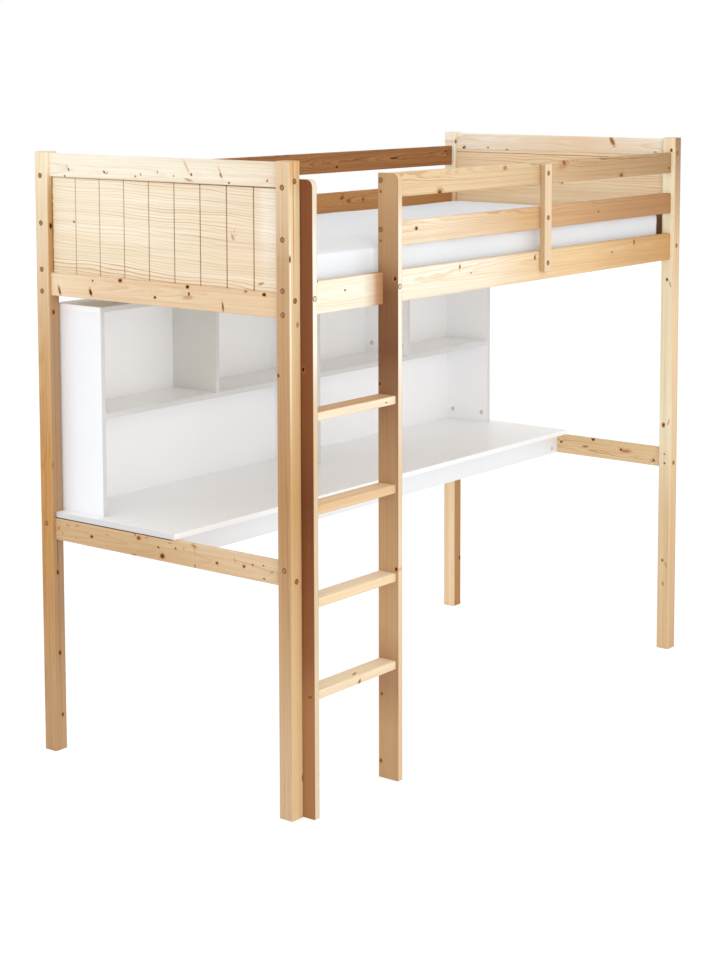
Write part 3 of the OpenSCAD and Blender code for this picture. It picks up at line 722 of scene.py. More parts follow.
@dataclass(frozen=True)
class MouldedPlastic:
    """Moulded plastic with a satin surface and slight colour clouds."""

    name: str
    color: Color
    rough: float = 0.4

    def material(self) -> bpy.types.Material:
        """Builds the plastic.

        Returns:
            The material.
        """
        r = Recipe("plastic_" + self.name)
        color = r.toned(self.color, r.ease(r.noise(r.point, 160.0, 2.0), 0.3, 0.7, 0.93, 1.04))
        grain = r.noise(r.point, 2400.0, 1.0)
        r.bump(grain, 0.1, 0.0001)
        return r.surface(base_color=color, roughness=r.plus(self.rough, r.swing(grain, 0.12)), ior=1.5)


@dataclass(frozen=True)
class ZincPlate:
    """Zinc-plated steel with fine turning marks."""

    name: str = "zinc_plate"
    color: Color = (205, 205, 200)

    def material(self) -> bpy.types.Material:
        """Builds the steel.

        Returns:
            The material.
        """
        r = Recipe(self.name)
        marks = r.noise(r.vector("MULTIPLY", r.point, (900.0, 900.0, 3000.0)), 1.0, 2.0)
        color = r.toned(self.color, r.ease(marks, 0.2, 0.8, 0.86, 1.04))
        r.bump(marks, 0.15, 0.0001)
        return r.surface(base_color=color, metallic=1.0, roughness=r.ease(marks, 0.2, 0.8, 0.26, 0.44))


@dataclass(frozen=True)
class BeechDowel:
    """Plain beech with short dark flecks. On the ladder's dark outer face the dowels are stained like it."""

    name: str = "beech_dowel"
    color: Color = (214, 178, 134)
    fleck: Color = (170, 124, 80)
    mark: Color = (40, 24, 14)
    stain: Color = (128, 80, 48)
    stain_face: float = -0.99599
    second_stain: Color = (130, 88, 56)
    second_face: float = -0.622
    mark_y: float = -0.497
    mark_first: float = 0.3425
    mark_pitch: float = 0.257125

    def material(self) -> bpy.types.Material:
        """Builds the beech, with a small screw mark in each dowel of the ladder's outer face.

        Returns:
            The material.
        """
        r = Recipe(self.name)
        x, y, z = r.split(r.point)
        fleck = r.noise(r.vector("MULTIPLY", r.point, (240.0, 900.0, 900.0)), 1.0, 2.0)
        color = r.blend(r.ease(fleck, 0.55, 0.75, 0.0, 0.5), shade(*self.color), shade(*self.fleck))
        on_face = r.ease(x, self.stain_face, self.stain_face + 0.0004, 1.0, 0.0)
        color = r.blend(on_face, color, shade(*self.stain))
        on_second = r.ease(r.size(r.minus(x, self.second_face)), 0.0004, 0.0008, 1.0, 0.0)
        color = r.blend(on_second, color, shade(*self.second_stain))
        turn = r.times(r.minus(z, self.mark_first - self.mark_pitch / 2), 1 / self.mark_pitch)
        rise = r.swing(r.math("FRACT", turn), self.mark_pitch)
        away = r.vector("LENGTH", r.join(0.0, r.minus(y, self.mark_y), rise))
        mark = r.times(r.ease(away, 0.0017, 0.0027, 1.0, 0.0), r.times(on_face, r.ease(z, 0.7, 0.75)))
        color = r.blend(mark, color, shade(*self.mark))
        r.bump(fleck, 0.2, 0.0003)
        return r.surface(base_color=color, roughness=0.55)


# ---- Shared ways of making pieces --------------------------------------------------------------


def add_object(name: str, data: bpy.types.ID) -> bpy.types.Object:
    """Adds an object to the scene.

    Args:
        name: Name of the object.
        data: Its mesh, lamp or camera.

    Returns:
        The object.
    """
    made = bpy.data.objects.new(name, data)
    bpy.context.scene.collection.objects.link(made)
    return made


def add_form(name: str, mesh: bmesh.types.BMesh, *materials: bpy.types.Material) -> bpy.types.Object:
    """Turns a mesh in the making into an object, smooth all over, with its faces looking outward.

    Args:
        name: Name of the piece.
        mesh: The mesh, which is used up.
        materials: Finishes of the piece.

    Returns:
        The piece.
    """
    bmesh.ops.recalc_face_normals(mesh, faces=mesh.faces)
    data = bpy.data.meshes.new(name)
    mesh.to_mesh(data)
    mesh.free()
    for material in materials:
        data.materials.append(material)
    data.polygons.foreach_set("use_smooth", [True] * len(data.polygons))
    return add_object(name, data)


def rest_on_body(piece: bpy.types.Object, slot: str, *nodes: str) -> bpy.types.Object:
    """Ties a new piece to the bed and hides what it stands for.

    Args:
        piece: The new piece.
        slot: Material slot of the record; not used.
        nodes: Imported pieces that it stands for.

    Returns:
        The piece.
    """
    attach(piece, BODY)
    if nodes:
        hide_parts(*nodes)
    LOG.info("built %s with %d faces", piece.name, len(piece.data.polygons))
    return piece


def knots_on(through: Axis, face: float, *rows: Tuple[float, ...]) -> Tuple[Knot, ...]:
    """Knots in one face of a board.

    Args:
        through: The way that all of them run, across the face.
        face: Where the face lies on that axis.
        rows: For each knot its two other coordinates and its radius in millimetres, and then as many of its
            stretch, darkness, lean and share as differ from the usual.

    Returns:
        The knots.
    """
    knots = []
    for first, second, radius, *rest in rows:
        place = [first, second]
        place.insert(through.value, face)
        knots.append(Knot(tuple(place), radius * KNOT_UNIT, through, *rest))
    return tuple(knots)


def scattered(seed: int, node: str, through: Axis, count: int) -> Tuple[Knot, ...]:
    """Knots strewn over a board's face, the same on each run.

    Args:
        seed: Number that picks the pattern.
        node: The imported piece.
        through: The way that the knots run.
        count: Number of knots.

    Returns:
        The knots.
    """
    pick = random.Random(seed)
    low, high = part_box(node)
    found = []
    for _ in range(count):
        place = [pick.uniform(a + 0.008, b - 0.008) if b - a > 0.03 else (a + b) / 2 for a, b in zip(low, high)]
        found.append(Knot(tuple(place), pick.uniform(0.003, 0.007), through, pick.uniform(1.1, 1.8),
                          pick.uniform(0.4, 1.0), pick.uniform(0.0, 90.0)))
    return tuple(found)


# ---- Sub-assemblies ----------------------------------------------------------------------------


class Timber:
    """Sub-assembly that is made of pine boards."""

    def boards(self) -> List[Pine]:
        """Pine of each board."""
        return []

    def build(self) -> None:
        """Dresses each board."""
        for board in self.boards():
            board.dress()


@dataclass
class Posts(Timber):
    """Four square posts with rounded ends."""

    side: float = 0.047
    outer_x: float = 1.043
    front_y: float = -0.4745
    rear_y: float = 0.4605
    height: float = 1.805

    def rear_left(self) -> Pine:
        """Post at the head's rear: cream on its left face near the top, golden below and brown in front.

        Returns:
            The post's pine.
        """
        y = self.rear_y
        return Pine(
            "post_rear_left", Axis.HEIGHT, (0.075, 0.012), (254, 240, 210), (228, 190, 142), 0.0032, 0.55, 0.006,
            0.006, seed=1.0,
            knots=knots_on(
                Axis.WIDTH, y, (-1.026, 1.587, 5, 1.6, 1), (-1.021, 1.331, 4.5, 1.5), (-1.023, 0.547, 5, 1.4),
                (-1.02, 0.299, 5, 1.4), (-1.013, 0.107, 4, 1.4), (-1.035, 0.873, 4, 2.4, 0.3, 0, 0.5),
                # The next knot is painted shade where the desk meets the post, drawn as a soft dark knot by the post's
                # inner edge.
                (-1.003, 0.7, 4, 3, 0.3, 0, 0.6)),
            stains_and_shades=(
                StainAndShade((203, 152, 91), (0, 1, 0.9, 1, 1.2, 0.82, 1.4, 0.55, 1.52, 0.37, 1.65, 0.24, 1.76, 0)),
                StainAndShade((194, 157, 116), (0, 1, 0.22, 0.9, 0.5, 0.3, 0.7, 0)),
                StainAndShade((176, 141, 107), (0, 0.2, 0.2, 0.3, 0.45, 0.95, 1.58, 0.95, 1.66, 0.7, 1.76, 0.1), Axis.LENGTH,
                      -1.03, -1.041),
                StainAndShade((198, 150, 92), (1.28, 0, 1.48, 0.95, 1.58, 0.9, 1.68, 0.75, 1.76, 0.1), Axis.LENGTH, -1.03,
                      -1.041),
                StainAndShade((126, 76, 40), (0.2, 0, 0.3, 0.4, 0.36, 0.1, 0.54, 0.15, 0.58, 0.75, 0.68, 0.6, 0.72, 0),
                      Axis.LENGTH, -1.0225, width=0.002),
                StainAndShade((126, 76, 40), (0.08, 0, 0.14, 0.3, 0.3, 0.1, 0.5, 0.3, 0.62, 0.35, 0.66, 0), Axis.LENGTH,
                      -1.0165, width=0.0016),
                StainAndShade((150, 104, 66), (0.8, 0, 0.95, 0.4, 1.1, 0.15, 1.25, 0.4, 1.34, 0), Axis.LENGTH, -1.0205,
                      width=0.002)))

    def front_left(self) -> Pine:
        """Post at the head's front: fine upright lines, a resin stripe down its front face, and a painted highlight by
        its front left corner.

        Returns:
            The post's pine.
        """
        left, y = -self.outer_x, self.front_y
        return Pine(
            "post_front_left", Axis.HEIGHT, (0.062, -0.03), (246, 225, 182), (212, 162, 104), 0.0028, 0.55, 0.005,
            0.004, seed=2.0,
            knots=knots_on(Axis.LENGTH, left, (-0.434, 1.229, 3.5, 1.3)) + knots_on(
                Axis.WIDTH, y, (-1.039, 1.544, 2.2, 3.4, 1), (-1.01, 1.366, 4, 1.5, 0.3, 0, 0.6),
                (-0.999, 0.112, 2.2, 3.6, 0.6)),
            stains_and_shades=(
                StainAndShade((218, 176, 122), (0, 0.5, 0.2, 0.55, 0.5, 0.75, 0.9, 1, 1.2, 0.6, 1.5, 0.1, 1.7, 0.1, 1.77, 0.9,
                      self.height, 1)),
                StainAndShade((229, 203, 166), (0, 1, self.height, 1), Axis.LENGTH, left + 0.0004, left + 0.005),
                StainAndShade((186, 142, 96), (0, 0.4, 0.2, 0.45, 0.5, 0.72, 0.9, 1, 1.2, 0.82, 1.52, 0.66, 1.65, 0.18, 1.78,
                      0), Axis.LENGTH, left + 0.0004, left + 0.005),
                # Painted highlight: a pale band down the front face beside the rounded corner.
                StainAndShade((255, 244, 222), (1, 0, 1.15, 0.45, 1.35, 0.9, 1.58, 0.8, 1.66, 0), Axis.LENGTH, -1.0385,
                      width=0.003),
                StainAndShade((206, 142, 72), (1.3, 0, 1.5, 0.5, 1.6, 0.9, self.height, 0.9), Axis.LENGTH, -1.0245,
                      width=0.0022),
                StainAndShade((196, 148, 92), (0, 0, 0.5, 0.3, 0.9, 0.5, 1.3, 0), Axis.LENGTH, -1, width=0.003)))

    def front_right(self) -> Pine:
        """Post at the foot's front: pale, with faint orange spikes beside its knots.

        Returns:
            The post's pine.
        """
        x = self.outer_x - self.side
        return Pine(
            "post_front_right", Axis.HEIGHT, (0.04, 0.055), (255, 243, 211), (242, 202, 150), 0.0032, 0.45, 0.005,
            0.005, seed=3.0,
            knots=knots_on(
                Axis.LENGTH, x, (-0.452, 1.313, 3.5, 1.3), (-0.465, 1.297, 2.2, 4.4, 0.1, 16, 0.5),
                (-0.445, 0.8, 5, 1.3, 0.6), (-0.465, 0.812, 2.2, 4.4, 0.1, -16, 0.5), (-0.448, 0.317, 3.2, 1.3),
                (-0.462, 0.302, 2.2, 4, 0.1, 24, 0.5), (-0.451, 0.233, 3, 2.2, 0.2, 0, 0.6),
                (-0.462, 1.762, 4, 1.3, 0.7)),
            stains_and_shades=(
                # Painted shade: the front face is painted darker than the left face.
                StainAndShade((240, 212, 172), (0, 1, 1.6, 1, self.height, 0.6), Axis.WIDTH, self.front_y + 0.0004,
                      self.front_y + 0.005),
                StainAndShade((228, 194, 148), (0, 0.9, 0.5, 0.8, 0.8, 0.1, 1.68, 0, 1.76, 0.35, self.height, 0.4)),
                StainAndShade((166, 130, 96), (0, 0.3, 0.45, 0.1, 1.2, 0, 1.45, 0.25, self.height, 1), Axis.LENGTH, 1.008,
                      0.998)))

    def rear_right(self) -> Pine:
        """Post at the foot's rear: pale on its left face and brown in front.

        Returns:
            The post's pine.
        """
        y = self.rear_y
        return Pine(
            "post_rear_right", Axis.HEIGHT, (0.06, -0.02), (246, 216, 174), (220, 172, 118), 0.003, 0.5, 0.006,
            0.006, seed=4.0, knots=knots_on(Axis.WIDTH, y, (1.003, 1.77, 4.5, 1.3), (1.034, 0.182, 4.5, 1.6, 1)),
            stains_and_shades=(
                StainAndShade((255, 245, 222), (0, 0, 1.55, 0, 1.72, 1, self.height, 1), late=(250, 230, 196)),
                StainAndShade((188, 140, 92), (0, 1, 1.3, 1, 1.5, 0.5, 1.72, 0.25, self.height, 0), Axis.LENGTH, 1.006, 0.997)))

    def boards(self) -> List[Pine]:
        """Pine of the four posts."""
        return [self.rear_left(), self.front_left(), self.front_right(), self.rear_right()]


@dataclass
class EndFrames(Timber):
    """Rails and grooved panels that join the posts at the head and the foot."""

    head_face: float = -1.0285
    head_panel_face: float = -1.0195
    foot_face: float = 1.0105
    first_groove: float = -0.3288
    groove_pitch: float = 0.09866
    rail_bottom: float = 1.733
    desk_seam: float = 0.7155

    def rail(self, node: str, offset: Tuple[float, float], pale: Color, late: Color, knots: Tuple[Knot, ...],
             seed: float, stains_and_shades: Tuple[StainAndShade, ...] = (), figure: float = 0.75, edge_shade: float = 0.6) -> Pine:
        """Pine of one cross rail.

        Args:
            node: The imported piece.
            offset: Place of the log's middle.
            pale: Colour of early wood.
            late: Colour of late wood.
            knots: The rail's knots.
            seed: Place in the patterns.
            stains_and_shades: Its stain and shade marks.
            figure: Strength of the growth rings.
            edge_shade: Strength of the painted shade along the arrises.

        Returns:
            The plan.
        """
        return Pine(
            node, Axis.WIDTH, offset, pale, late, 0.0032, figure, 0.01, 0.02, knots, stains_and_shades, seed=seed, wave=0.003,
            edge_shade=edge_shade)

    def head(self) -> List[Pine]:
        """Pine of the head's rails: knots and spikes low on the top rail, and dark knots on the lower ones.

        Returns:
            The three rails.
        """
        x, cream, line = self.head_face, (255, 247, 228), (238, 204, 156)
        top = knots_on(
            Axis.LENGTH, x, (0.378, 1.755, 2.6, 1.6, 0.55, 60), (0.384, 1.762, 1.8, 4.6, 0.05, 62, 0.4),
            (0.232, 1.753, 2.6, 1.6, 0.5, 40), (0.222, 1.75, 2, 3, 0.1, -20, 0.5), (0.395, 1.736, 2.2, 1.3, 0.6),
            (0.107, 1.745, 2, 1.3, 0.5), (0.086, 1.751, 2, 1.4, 0.3, 70, 0.8),
            (0.02, 1.76, 2.2, 1.5, 0.25, 80, 0.6), (-0.109, 1.757, 2.6, 1.3, 0.5, 60),
            (-0.091, 1.778, 3, 6, 0.05, 58, 0.3), (-0.098, 1.742, 2.8, 4.6, 0.1, 12, 0.5),
            (-0.219, 1.759, 2.4, 2.6, 0.6, 60, 0.9), (-0.216, 1.77, 2.6, 4.4, 0.05, 60, 0.28),
            (-0.387, 1.75, 2.4, 1.5, 0.5, -50, 0.8), (-0.042, 1.751, 1.8, 1.4, 0.3, 0, 0.7),
            (-0.249, 1.739, 2.2, 1.3, 0.6))
        low = knots_on(
            Axis.LENGTH, x, (0.425, 1.398, 3.6, 3.4, 0.75, 72, 0.85), (0.295, 1.402, 4.4, 2, 0.95, 72),
            (0.174, 1.444, 5, 1.3, 0.9), (0.286, 1.436, 2.4, 1.3, 0.7), (0.036, 1.406, 3.4, 1.3, 0.85),
            (-0.09, 1.444, 4.2, 1.4, 1), (-0.095, 1.425, 3, 1.6, 0.9, 90), (-0.222, 1.398, 3, 3.6, 0.7, 82, 0.85),
            (-0.373, 1.442, 4.2, 1.3, 1), (-0.306, 1.446, 3, 1.6, 0.4, 0, 0.7),
            (-0.092, 1.415, 5, 3.2, 0.1, -8, 0.35))
        desk = knots_on(
            Axis.LENGTH, x, (0.307, 0.679, 4.4, 1.2, 0.8), (0.114, 0.703, 5, 1.3, 0.45),
            (0.129, 0.714, 2.2, 3, 0.6, 70, 0.8), (0.02, 0.664, 6.5, 1.2, 0.8), (0.036, 0.687, 2.8, 1.3, 0.7),
            (-0.032, 0.694, 2.4, 1.3, 0.7), (-0.104, 0.711, 3.4, 2.6, 0.3, 14, 0.6),
            (-0.106, 0.7, 1.5, 7, 0.1, 82, 0.35), (-0.107, 0.655, 2.4, 1.6, 0.5, 80, 0.7),
            (0.134, 0.65, 2.6, 2.6, 0.5, -12, 0.8), (0.407, 0.698, 1.6, 3.4, 0.3, 24, 0.7),
            (0.368, 0.703, 1.5, 4, 0.2, 12, 0.6), (0.446, 0.684, 1.8, 3, 0.4, -60, 0.8),
            (0.373, 0.665, 1.8, 1.4, 0.4, 0, 0.7), (0.428, 0.672, 1.4, 3.6, 0.3, -30, 0.6),
            (0.242, 0.693, 1.4, 5, 0.1, 10, 0.5), (0.081, 0.709, 1.3, 6, 0.3, -16, 0.6),
            (-0.01, 0.706, 1.3, 4.6, 0.3, -12, 0.5), (-0.064, 0.699, 1.3, 3, 0.3, -20, 0.5),
            (-0.191, 0.676, 3.4, 1.3, 0.8), (-0.258, 0.694, 1.4, 3.4, 0.4, 60, 0.6), (-0.292, 0.682, 3.4, 1.3, 0.7),
            (-0.324, 0.691, 2.2, 1.3, 0.6), (-0.363, 0.695, 2, 1.3, 0.5), (-0.365, 0.658, 2.2, 1.3, 0.5),
            (-0.395, 0.682, 1.4, 4, 0.3, -30, 0.6))
        return [
            self.rail(
                "head_top_rail", (0.055, -0.012), cream, line, top, 5.0,
                (StainAndShade((240, 222, 196), (-0.43, 0.9, -0.1, 0.35, 0.3, 0)),), 0.35),
            self.rail(
                "head_lower_rail", (0.04, 0.01), (246, 222, 188), (216, 170, 120), low, 6.0,
                (StainAndShade((232, 202, 164), (-0.43, 0.9, 0.2, 0.6, 0.43, 0)),), 0.4),
            self.rail(
                "head_desk_rail", (0.045, -0.01), (228, 200, 164), (168, 112, 58), desk, 7.0,
                (
                    StainAndShade((206, 168, 120), (-0.43, 0, 0.1, 0.7, 0.45, 0.6)),
                    # Painted highlight: the rail's top face is lightened into a pale line under the desk's end.
                    StainAndShade((248, 226, 190), (-0.44, 0.9, -0.05, 0.9, -0.02, 0), Axis.HEIGHT, self.desk_seam,
                          self.desk_seam - 0.0015, late=(240, 208, 164)),
                    # Painted shade: a near-black line in the joint under the desk top's end.
                    StainAndShade((64, 40, 24), (-0.03, 0, -0.01, 0.95, 0.46, 0.95), Axis.HEIGHT, self.desk_seam,
                          width=0.0022)),
                0.4, 0.2)]

    def foot(self) -> List[Pine]:
        """Pine of the foot's rails.

        Returns:
            The three rails.
        """
        x = self.foot_face
        top = knots_on(
            Axis.LENGTH, x, (0.429, 1.748, 3.4), (0.319, 1.751, 2.4, 1.3, 0.6), (0.234, 1.743, 3.6, 1.3, 0.6),
            (0.081, 1.735, 4, 1.6, 0.6), (-0.215, 1.787, 6, 2.4, 0.45, 60, 0.8), (-0.424, 1.758, 3.4),
            (-0.139, 1.733, 3.4, 3.4, 0.6, 4, 0.8))
        desk = knots_on(
            Axis.LENGTH, x, (-0.148, 0.712, 4.2, 1.3, 0.9), (-0.265, 0.689, 3.2, 1.3, 0.9),
            (-0.285, 0.686, 5, 3.6, 0.15, -4, 0.6), (-0.397, 0.666, 4.6, 1.3, 0.55),
            (-0.115, 0.683, 3.4, 3, 0.3, -10, 0.7), (-0.012, 0.688, 3.4, 1.3, 0.7))
        return [
            self.rail(
                "foot_top_rail", (-0.05, 0.012), (255, 247, 230), (238, 196, 144), top, 9.0,
                (StainAndShade((248, 220, 186), (-0.43, 0, -0.1, 0.9, 0.15, 0.6, 0.4, 0)),)),
            self.rail(
                "foot_lower_rail", (-0.04, 0.01), (242, 214, 176), (212, 168, 118),
                scattered(10, "foot_lower_rail", Axis.LENGTH, 7), 10.0),
            self.rail("foot_desk_rail", (-0.045, -0.01), (240, 210, 166), (196, 146, 90), desk, 11.0)]

    def panels(self) -> List[Pine]:
        """Pine of the grooved panels: wavy level lines, painted shade in the grooves, a painted shadow line under the
        top rail, painted shade beside the post and a painted shadow behind the mattress's end.

        Returns:
            The two panels.
        """
        x = self.head_panel_face
        grooves = (self.first_groove, self.groove_pitch)
        # Painted shadow: a dark line on the head panel just under its top rail.
        corner = StainAndShade((112, 74, 44), (-0.43, 0.9, 0.1, 0.65, 0.46, 0.35), Axis.HEIGHT, self.rail_bottom - 0.002,
                       width=0.002)
        joint = StainAndShade((150, 104, 66), (-0.43, 0.8, 0.46, 0.8), Axis.HEIGHT, self.rail_bottom - 0.0006, width=0.0013)
        # Painted shadow on the foot panel's inner face, in the gap behind the mattress's end.
        mattress_gap_shadow = StainAndShade((116, 76, 48), (-0.44, 0.9, -0.39, 0.9, -0.36, 0), Axis.HEIGHT, 1.535, 1.56, inner=True)
        # Painted shade on the head panel at its left end, beside the post.
        post_shade = StainAndShade((150, 104, 62), (-0.43, 0.9, 0.46, 0.9), Axis.WIDTH, 0.4605, width=0.005)
        low = StainAndShade((240, 216, 182), (-0.43, 0.5, 0.46, 0.45), Axis.HEIGHT, 1.5, 1.63, late=(190, 134, 70))
        flame = knots_on(
            Axis.LENGTH, x, (-0.253, 1.59, 3.6, 1.8, 0.15, 62, 0.5), (-0.247, 1.602, 1.3, 4, 0, 66, 0.28),
            (-0.258, 1.606, 1.3, 4.5, 0, 104, 0.3), (-0.264, 1.598, 1.2, 4.5, 0, 140, 0.25),
            (0.369, 1.603, 2.4, 1.3, 0.6), (-0.355, 1.47, 3, 2.6, 0.2, -15, 0.6))
        return [
            Pine(
                "head_panel", Axis.WIDTH, (0.08, -0.42), (255, 245, 221), (204, 146, 76), 0.0085, 1.0, 0.02, 0.05,
                flame,
                (
                    StainAndShade((241, 222, 196), (-0.43, 0.9, -0.25, 0.8, 0, 0.4, 0.2, 0.1, 0.4, 0), late=(222, 180, 126)),
                    StainAndShade((254, 246, 232), (-0.43, 0.8, -0.37, 0.7, -0.34, 0), late=(230, 196, 152)),
                    StainAndShade((255, 242, 216), (-0.43, 0, -0.1, 0, 0.2, 0.75, 0.46, 1), late=(182, 120, 46)), low,
                    corner, post_shade),
                grooves, 8.0, 0.012, 0.35, 0.4),
            Pine(
                "foot_panel", Axis.WIDTH, (-0.08, -0.40), (248, 222, 184), (214, 150, 84), 0.009, 0.9, 0.02, 0.05,
                scattered(12, "foot_panel", Axis.LENGTH, 3), (joint, mattress_gap_shadow), grooves, 12.0, 0.014, 0.2, 0.45)]

    def boards(self) -> List[Pine]:
        """Pine of the rails and panels of both ends."""
        return self.head() + self.foot() + self.panels()


@dataclass
class LongRails(Timber):
    """Side rails, safety guards and the straps that tie the guards to the side rails."""

    front_face: float = -0.462
    rear_inner: float = 0.473

    def front(self) -> List[Pine]:
        """Pine of the front boards, which darken from cream at the ladder to golden brown at the foot.

        Returns:
            The four boards.
        """
        y = self.front_face
        side = knots_on(
            Axis.WIDTH, y, (-0.792, 1.439, 2.4, 1.3, 0.6), (-0.913, 1.474, 3, 1.3, 0.7),
            (-0.25, 1.459, 3.2, 1.9, 0.6, 80), (-0.193, 1.437, 2.6, 1.3, 0.2, 0, 0.7),
            (0.152, 1.456, 3.4, 2, 0.7, 80), (0.754, 1.462, 4, 1.8, 0.6, 85), (0.613, 1.438, 3, 1.3, 0.25, 0, 0.8),
            (-0.55, 1.449, 3, 1.3, 0.6))
        upper = knots_on(
            Axis.WIDTH, y, (-0.351, 1.687, 5.5, 1.3, 0.7), (-0.351, 1.69, 9, 1.5, 0.1, 0, 0.45),
            (-0.015, 1.744, 5, 1.6, 0.25, 0, 0.7), (0.316, 1.746, 6, 1.7, 0.6, 150, 0.85),
            (0.316, 1.742, 12, 2.4, 0.1, 24, 0.3), (0.667, 1.691, 5, 1.4, 0.75),
            (0.667, 1.693, 9, 1.8, 0.1, 0, 0.35), (0.981, 1.702, 3.6, 1.3, 0.8))
        low = knots_on(Axis.WIDTH, y, (-0.465, 1.589, 4.6, 1.3, 0.85), (0.525, 1.578, 3.2, 1.4, 0.45))
        brown = StainAndShade((178, 130, 84), (0.1, 0, 0.3, 0.2, 0.5, 0.5, 0.7, 0.75, 1, 1))
        return [
            Pine(
                "side_rail_front", Axis.LENGTH, (0.06, 0.012), (255, 247, 227), (232, 190, 132), 0.003, 0.6, 0.008,
                0.012, side,
                (
                    StainAndShade((240, 204, 154), (-0.4, 0, -0.1, 0.2, 0, 0.55, 0.1, 0.75, 0.4, 1, 1, 1)),
                    StainAndShade((204, 156, 100), (0.4, 0, 0.6, 0.42, 0.8, 0.75, 1, 1)),
                    # Painted shade: a thin line along the rail's top edge.
                    StainAndShade((206, 158, 104), (-1, 0.6, -0.1, 0.4, 0.3, 0), Axis.HEIGHT, 1.4745, width=0.0012),
                    # Painted shade on the rail beside the ladder's right stile, in the corner the stile makes with it.
                    StainAndShade((188, 130, 70), (-0.71, 0, -0.67, 0.35, -0.65, 0.8, -0.6, 1, -0.598, 0))),
                seed=13.0),
            Pine(
                "guard_front_upper", Axis.LENGTH, (0.03, 0.03), (236, 208, 168), (182, 128, 72), 0.0021, 1.0, 0.01,
                0.01, upper,
                (StainAndShade((178, 142, 100), (-0.5, 0, -0.1, 0.1, 0.1, 0.25, 0.3, 0.38, 0.5, 0.58, 0.7, 0.72, 1, 1)),),
                seed=15.0, wave=0.004, faint=0.45),
            Pine(
                "guard_front_lower", Axis.LENGTH, (0.03, 0.032), (252, 236, 209), (204, 148, 86), 0.0021, 1.0, 0.01,
                0.01, low, (StainAndShade((222, 180, 134), (-0.4, 0, -0.1, 0.6, 0.1, 1, 1, 1)), brown), seed=16.0,
                wave=0.004, faint=0.45),
            Pine(
                "guard_strap_front", Axis.HEIGHT, (-0.01, 0.05), (238, 214, 178), (214, 174, 126), 0.003, 0.4,
                0.004, 0.004, (), (StainAndShade((206, 174, 134), (1.4, 1, 1.75, 1), Axis.LENGTH, 0.1775, 0.1805),),
                seed=19.0)]

    def rear(self) -> List[Pine]:
        """Pine of the rear boards: brown, partly as darker wood and partly as painted shade where less light reaches
        the rear, with dark arched figure.

        Returns:
            The four boards.
        """
        y = self.rear_inner
        knots = knots_on(Axis.WIDTH, y, (0.317, 1.703, 5, 1.3, 0.9), (0.955, 1.736, 4))
        # Brown tones: partly wood colour, partly painted shade of the rear boards.
        brown, line = (176, 120, 72), (62, 31, 12)
        return [
            Pine(
                "side_rail_rear", Axis.LENGTH, (0.05, 0.004), brown, line, 0.003, 0.6, 0.01, 0.016,
                scattered(14, "side_rail_rear", Axis.WIDTH, 9), seed=14.0),
            Pine(
                "guard_rear_upper", Axis.LENGTH, (0.035, 0.0), brown, line, 0.0019, 1.0, 0.01, 0.016, knots,
                seed=17.0, wave=0.006, faint=0.55),
            Pine(
                "guard_rear_lower", Axis.LENGTH, (0.035, 0.006), (200, 146, 90), (88, 50, 22), 0.0019, 1.0, 0.01,
                0.02, scattered(18, "guard_rear_lower", Axis.WIDTH, 5), seed=18.0, wave=0.006, faint=0.55),
            Pine(
                "guard_strap_rear", Axis.HEIGHT, (-0.01, 0.05), (238, 208, 164), (206, 160, 110), 0.003, 0.4, 0.004,
                0.004, seed=20.0)]

    def boards(self) -> List[Pine]:
        """Pine of the long boards and the straps."""
        return self.front() + self.rear()


@dataclass
class SlattedBase(Timber):
    """Thirteen slats on two ledgers."""

    slats: int = 13
    slat_width: float = 0.09
    first_seed: int = 30
    ledger_seed: int = 50

    def boards(self) -> List[Pine]:
        """Pine of each slat and ledger, every slat from its own part of the log.

        Returns:
            The boards.
        """
        pick, boards = random.Random(self.first_seed), []
        for index in range(1, self.slats + 1):
            node, seed = f"slat_{index}", self.first_seed + index
            turn = pick.uniform(-0.5, 0.5) * self.slat_width
            boards.append(Pine(node, Axis.WIDTH, (turn, -0.04), (240, 214, 172), (204, 158, 104), 0.0045, 0.5, 0.01,
                               0.02, scattered(seed, node, Axis.HEIGHT, pick.randint(1, 4)), seed=float(seed)))
        for seed, node in enumerate(("ledger_front", "ledger_rear"), self.ledger_seed):
            boards.append(Pine(node, Axis.LENGTH, (0.03, -0.02), (234, 204, 160), (200, 152, 100), 0.0042, 0.5,
                               seed=float(seed), knots=scattered(seed, node, Axis.WIDTH, 8)))
        return boards


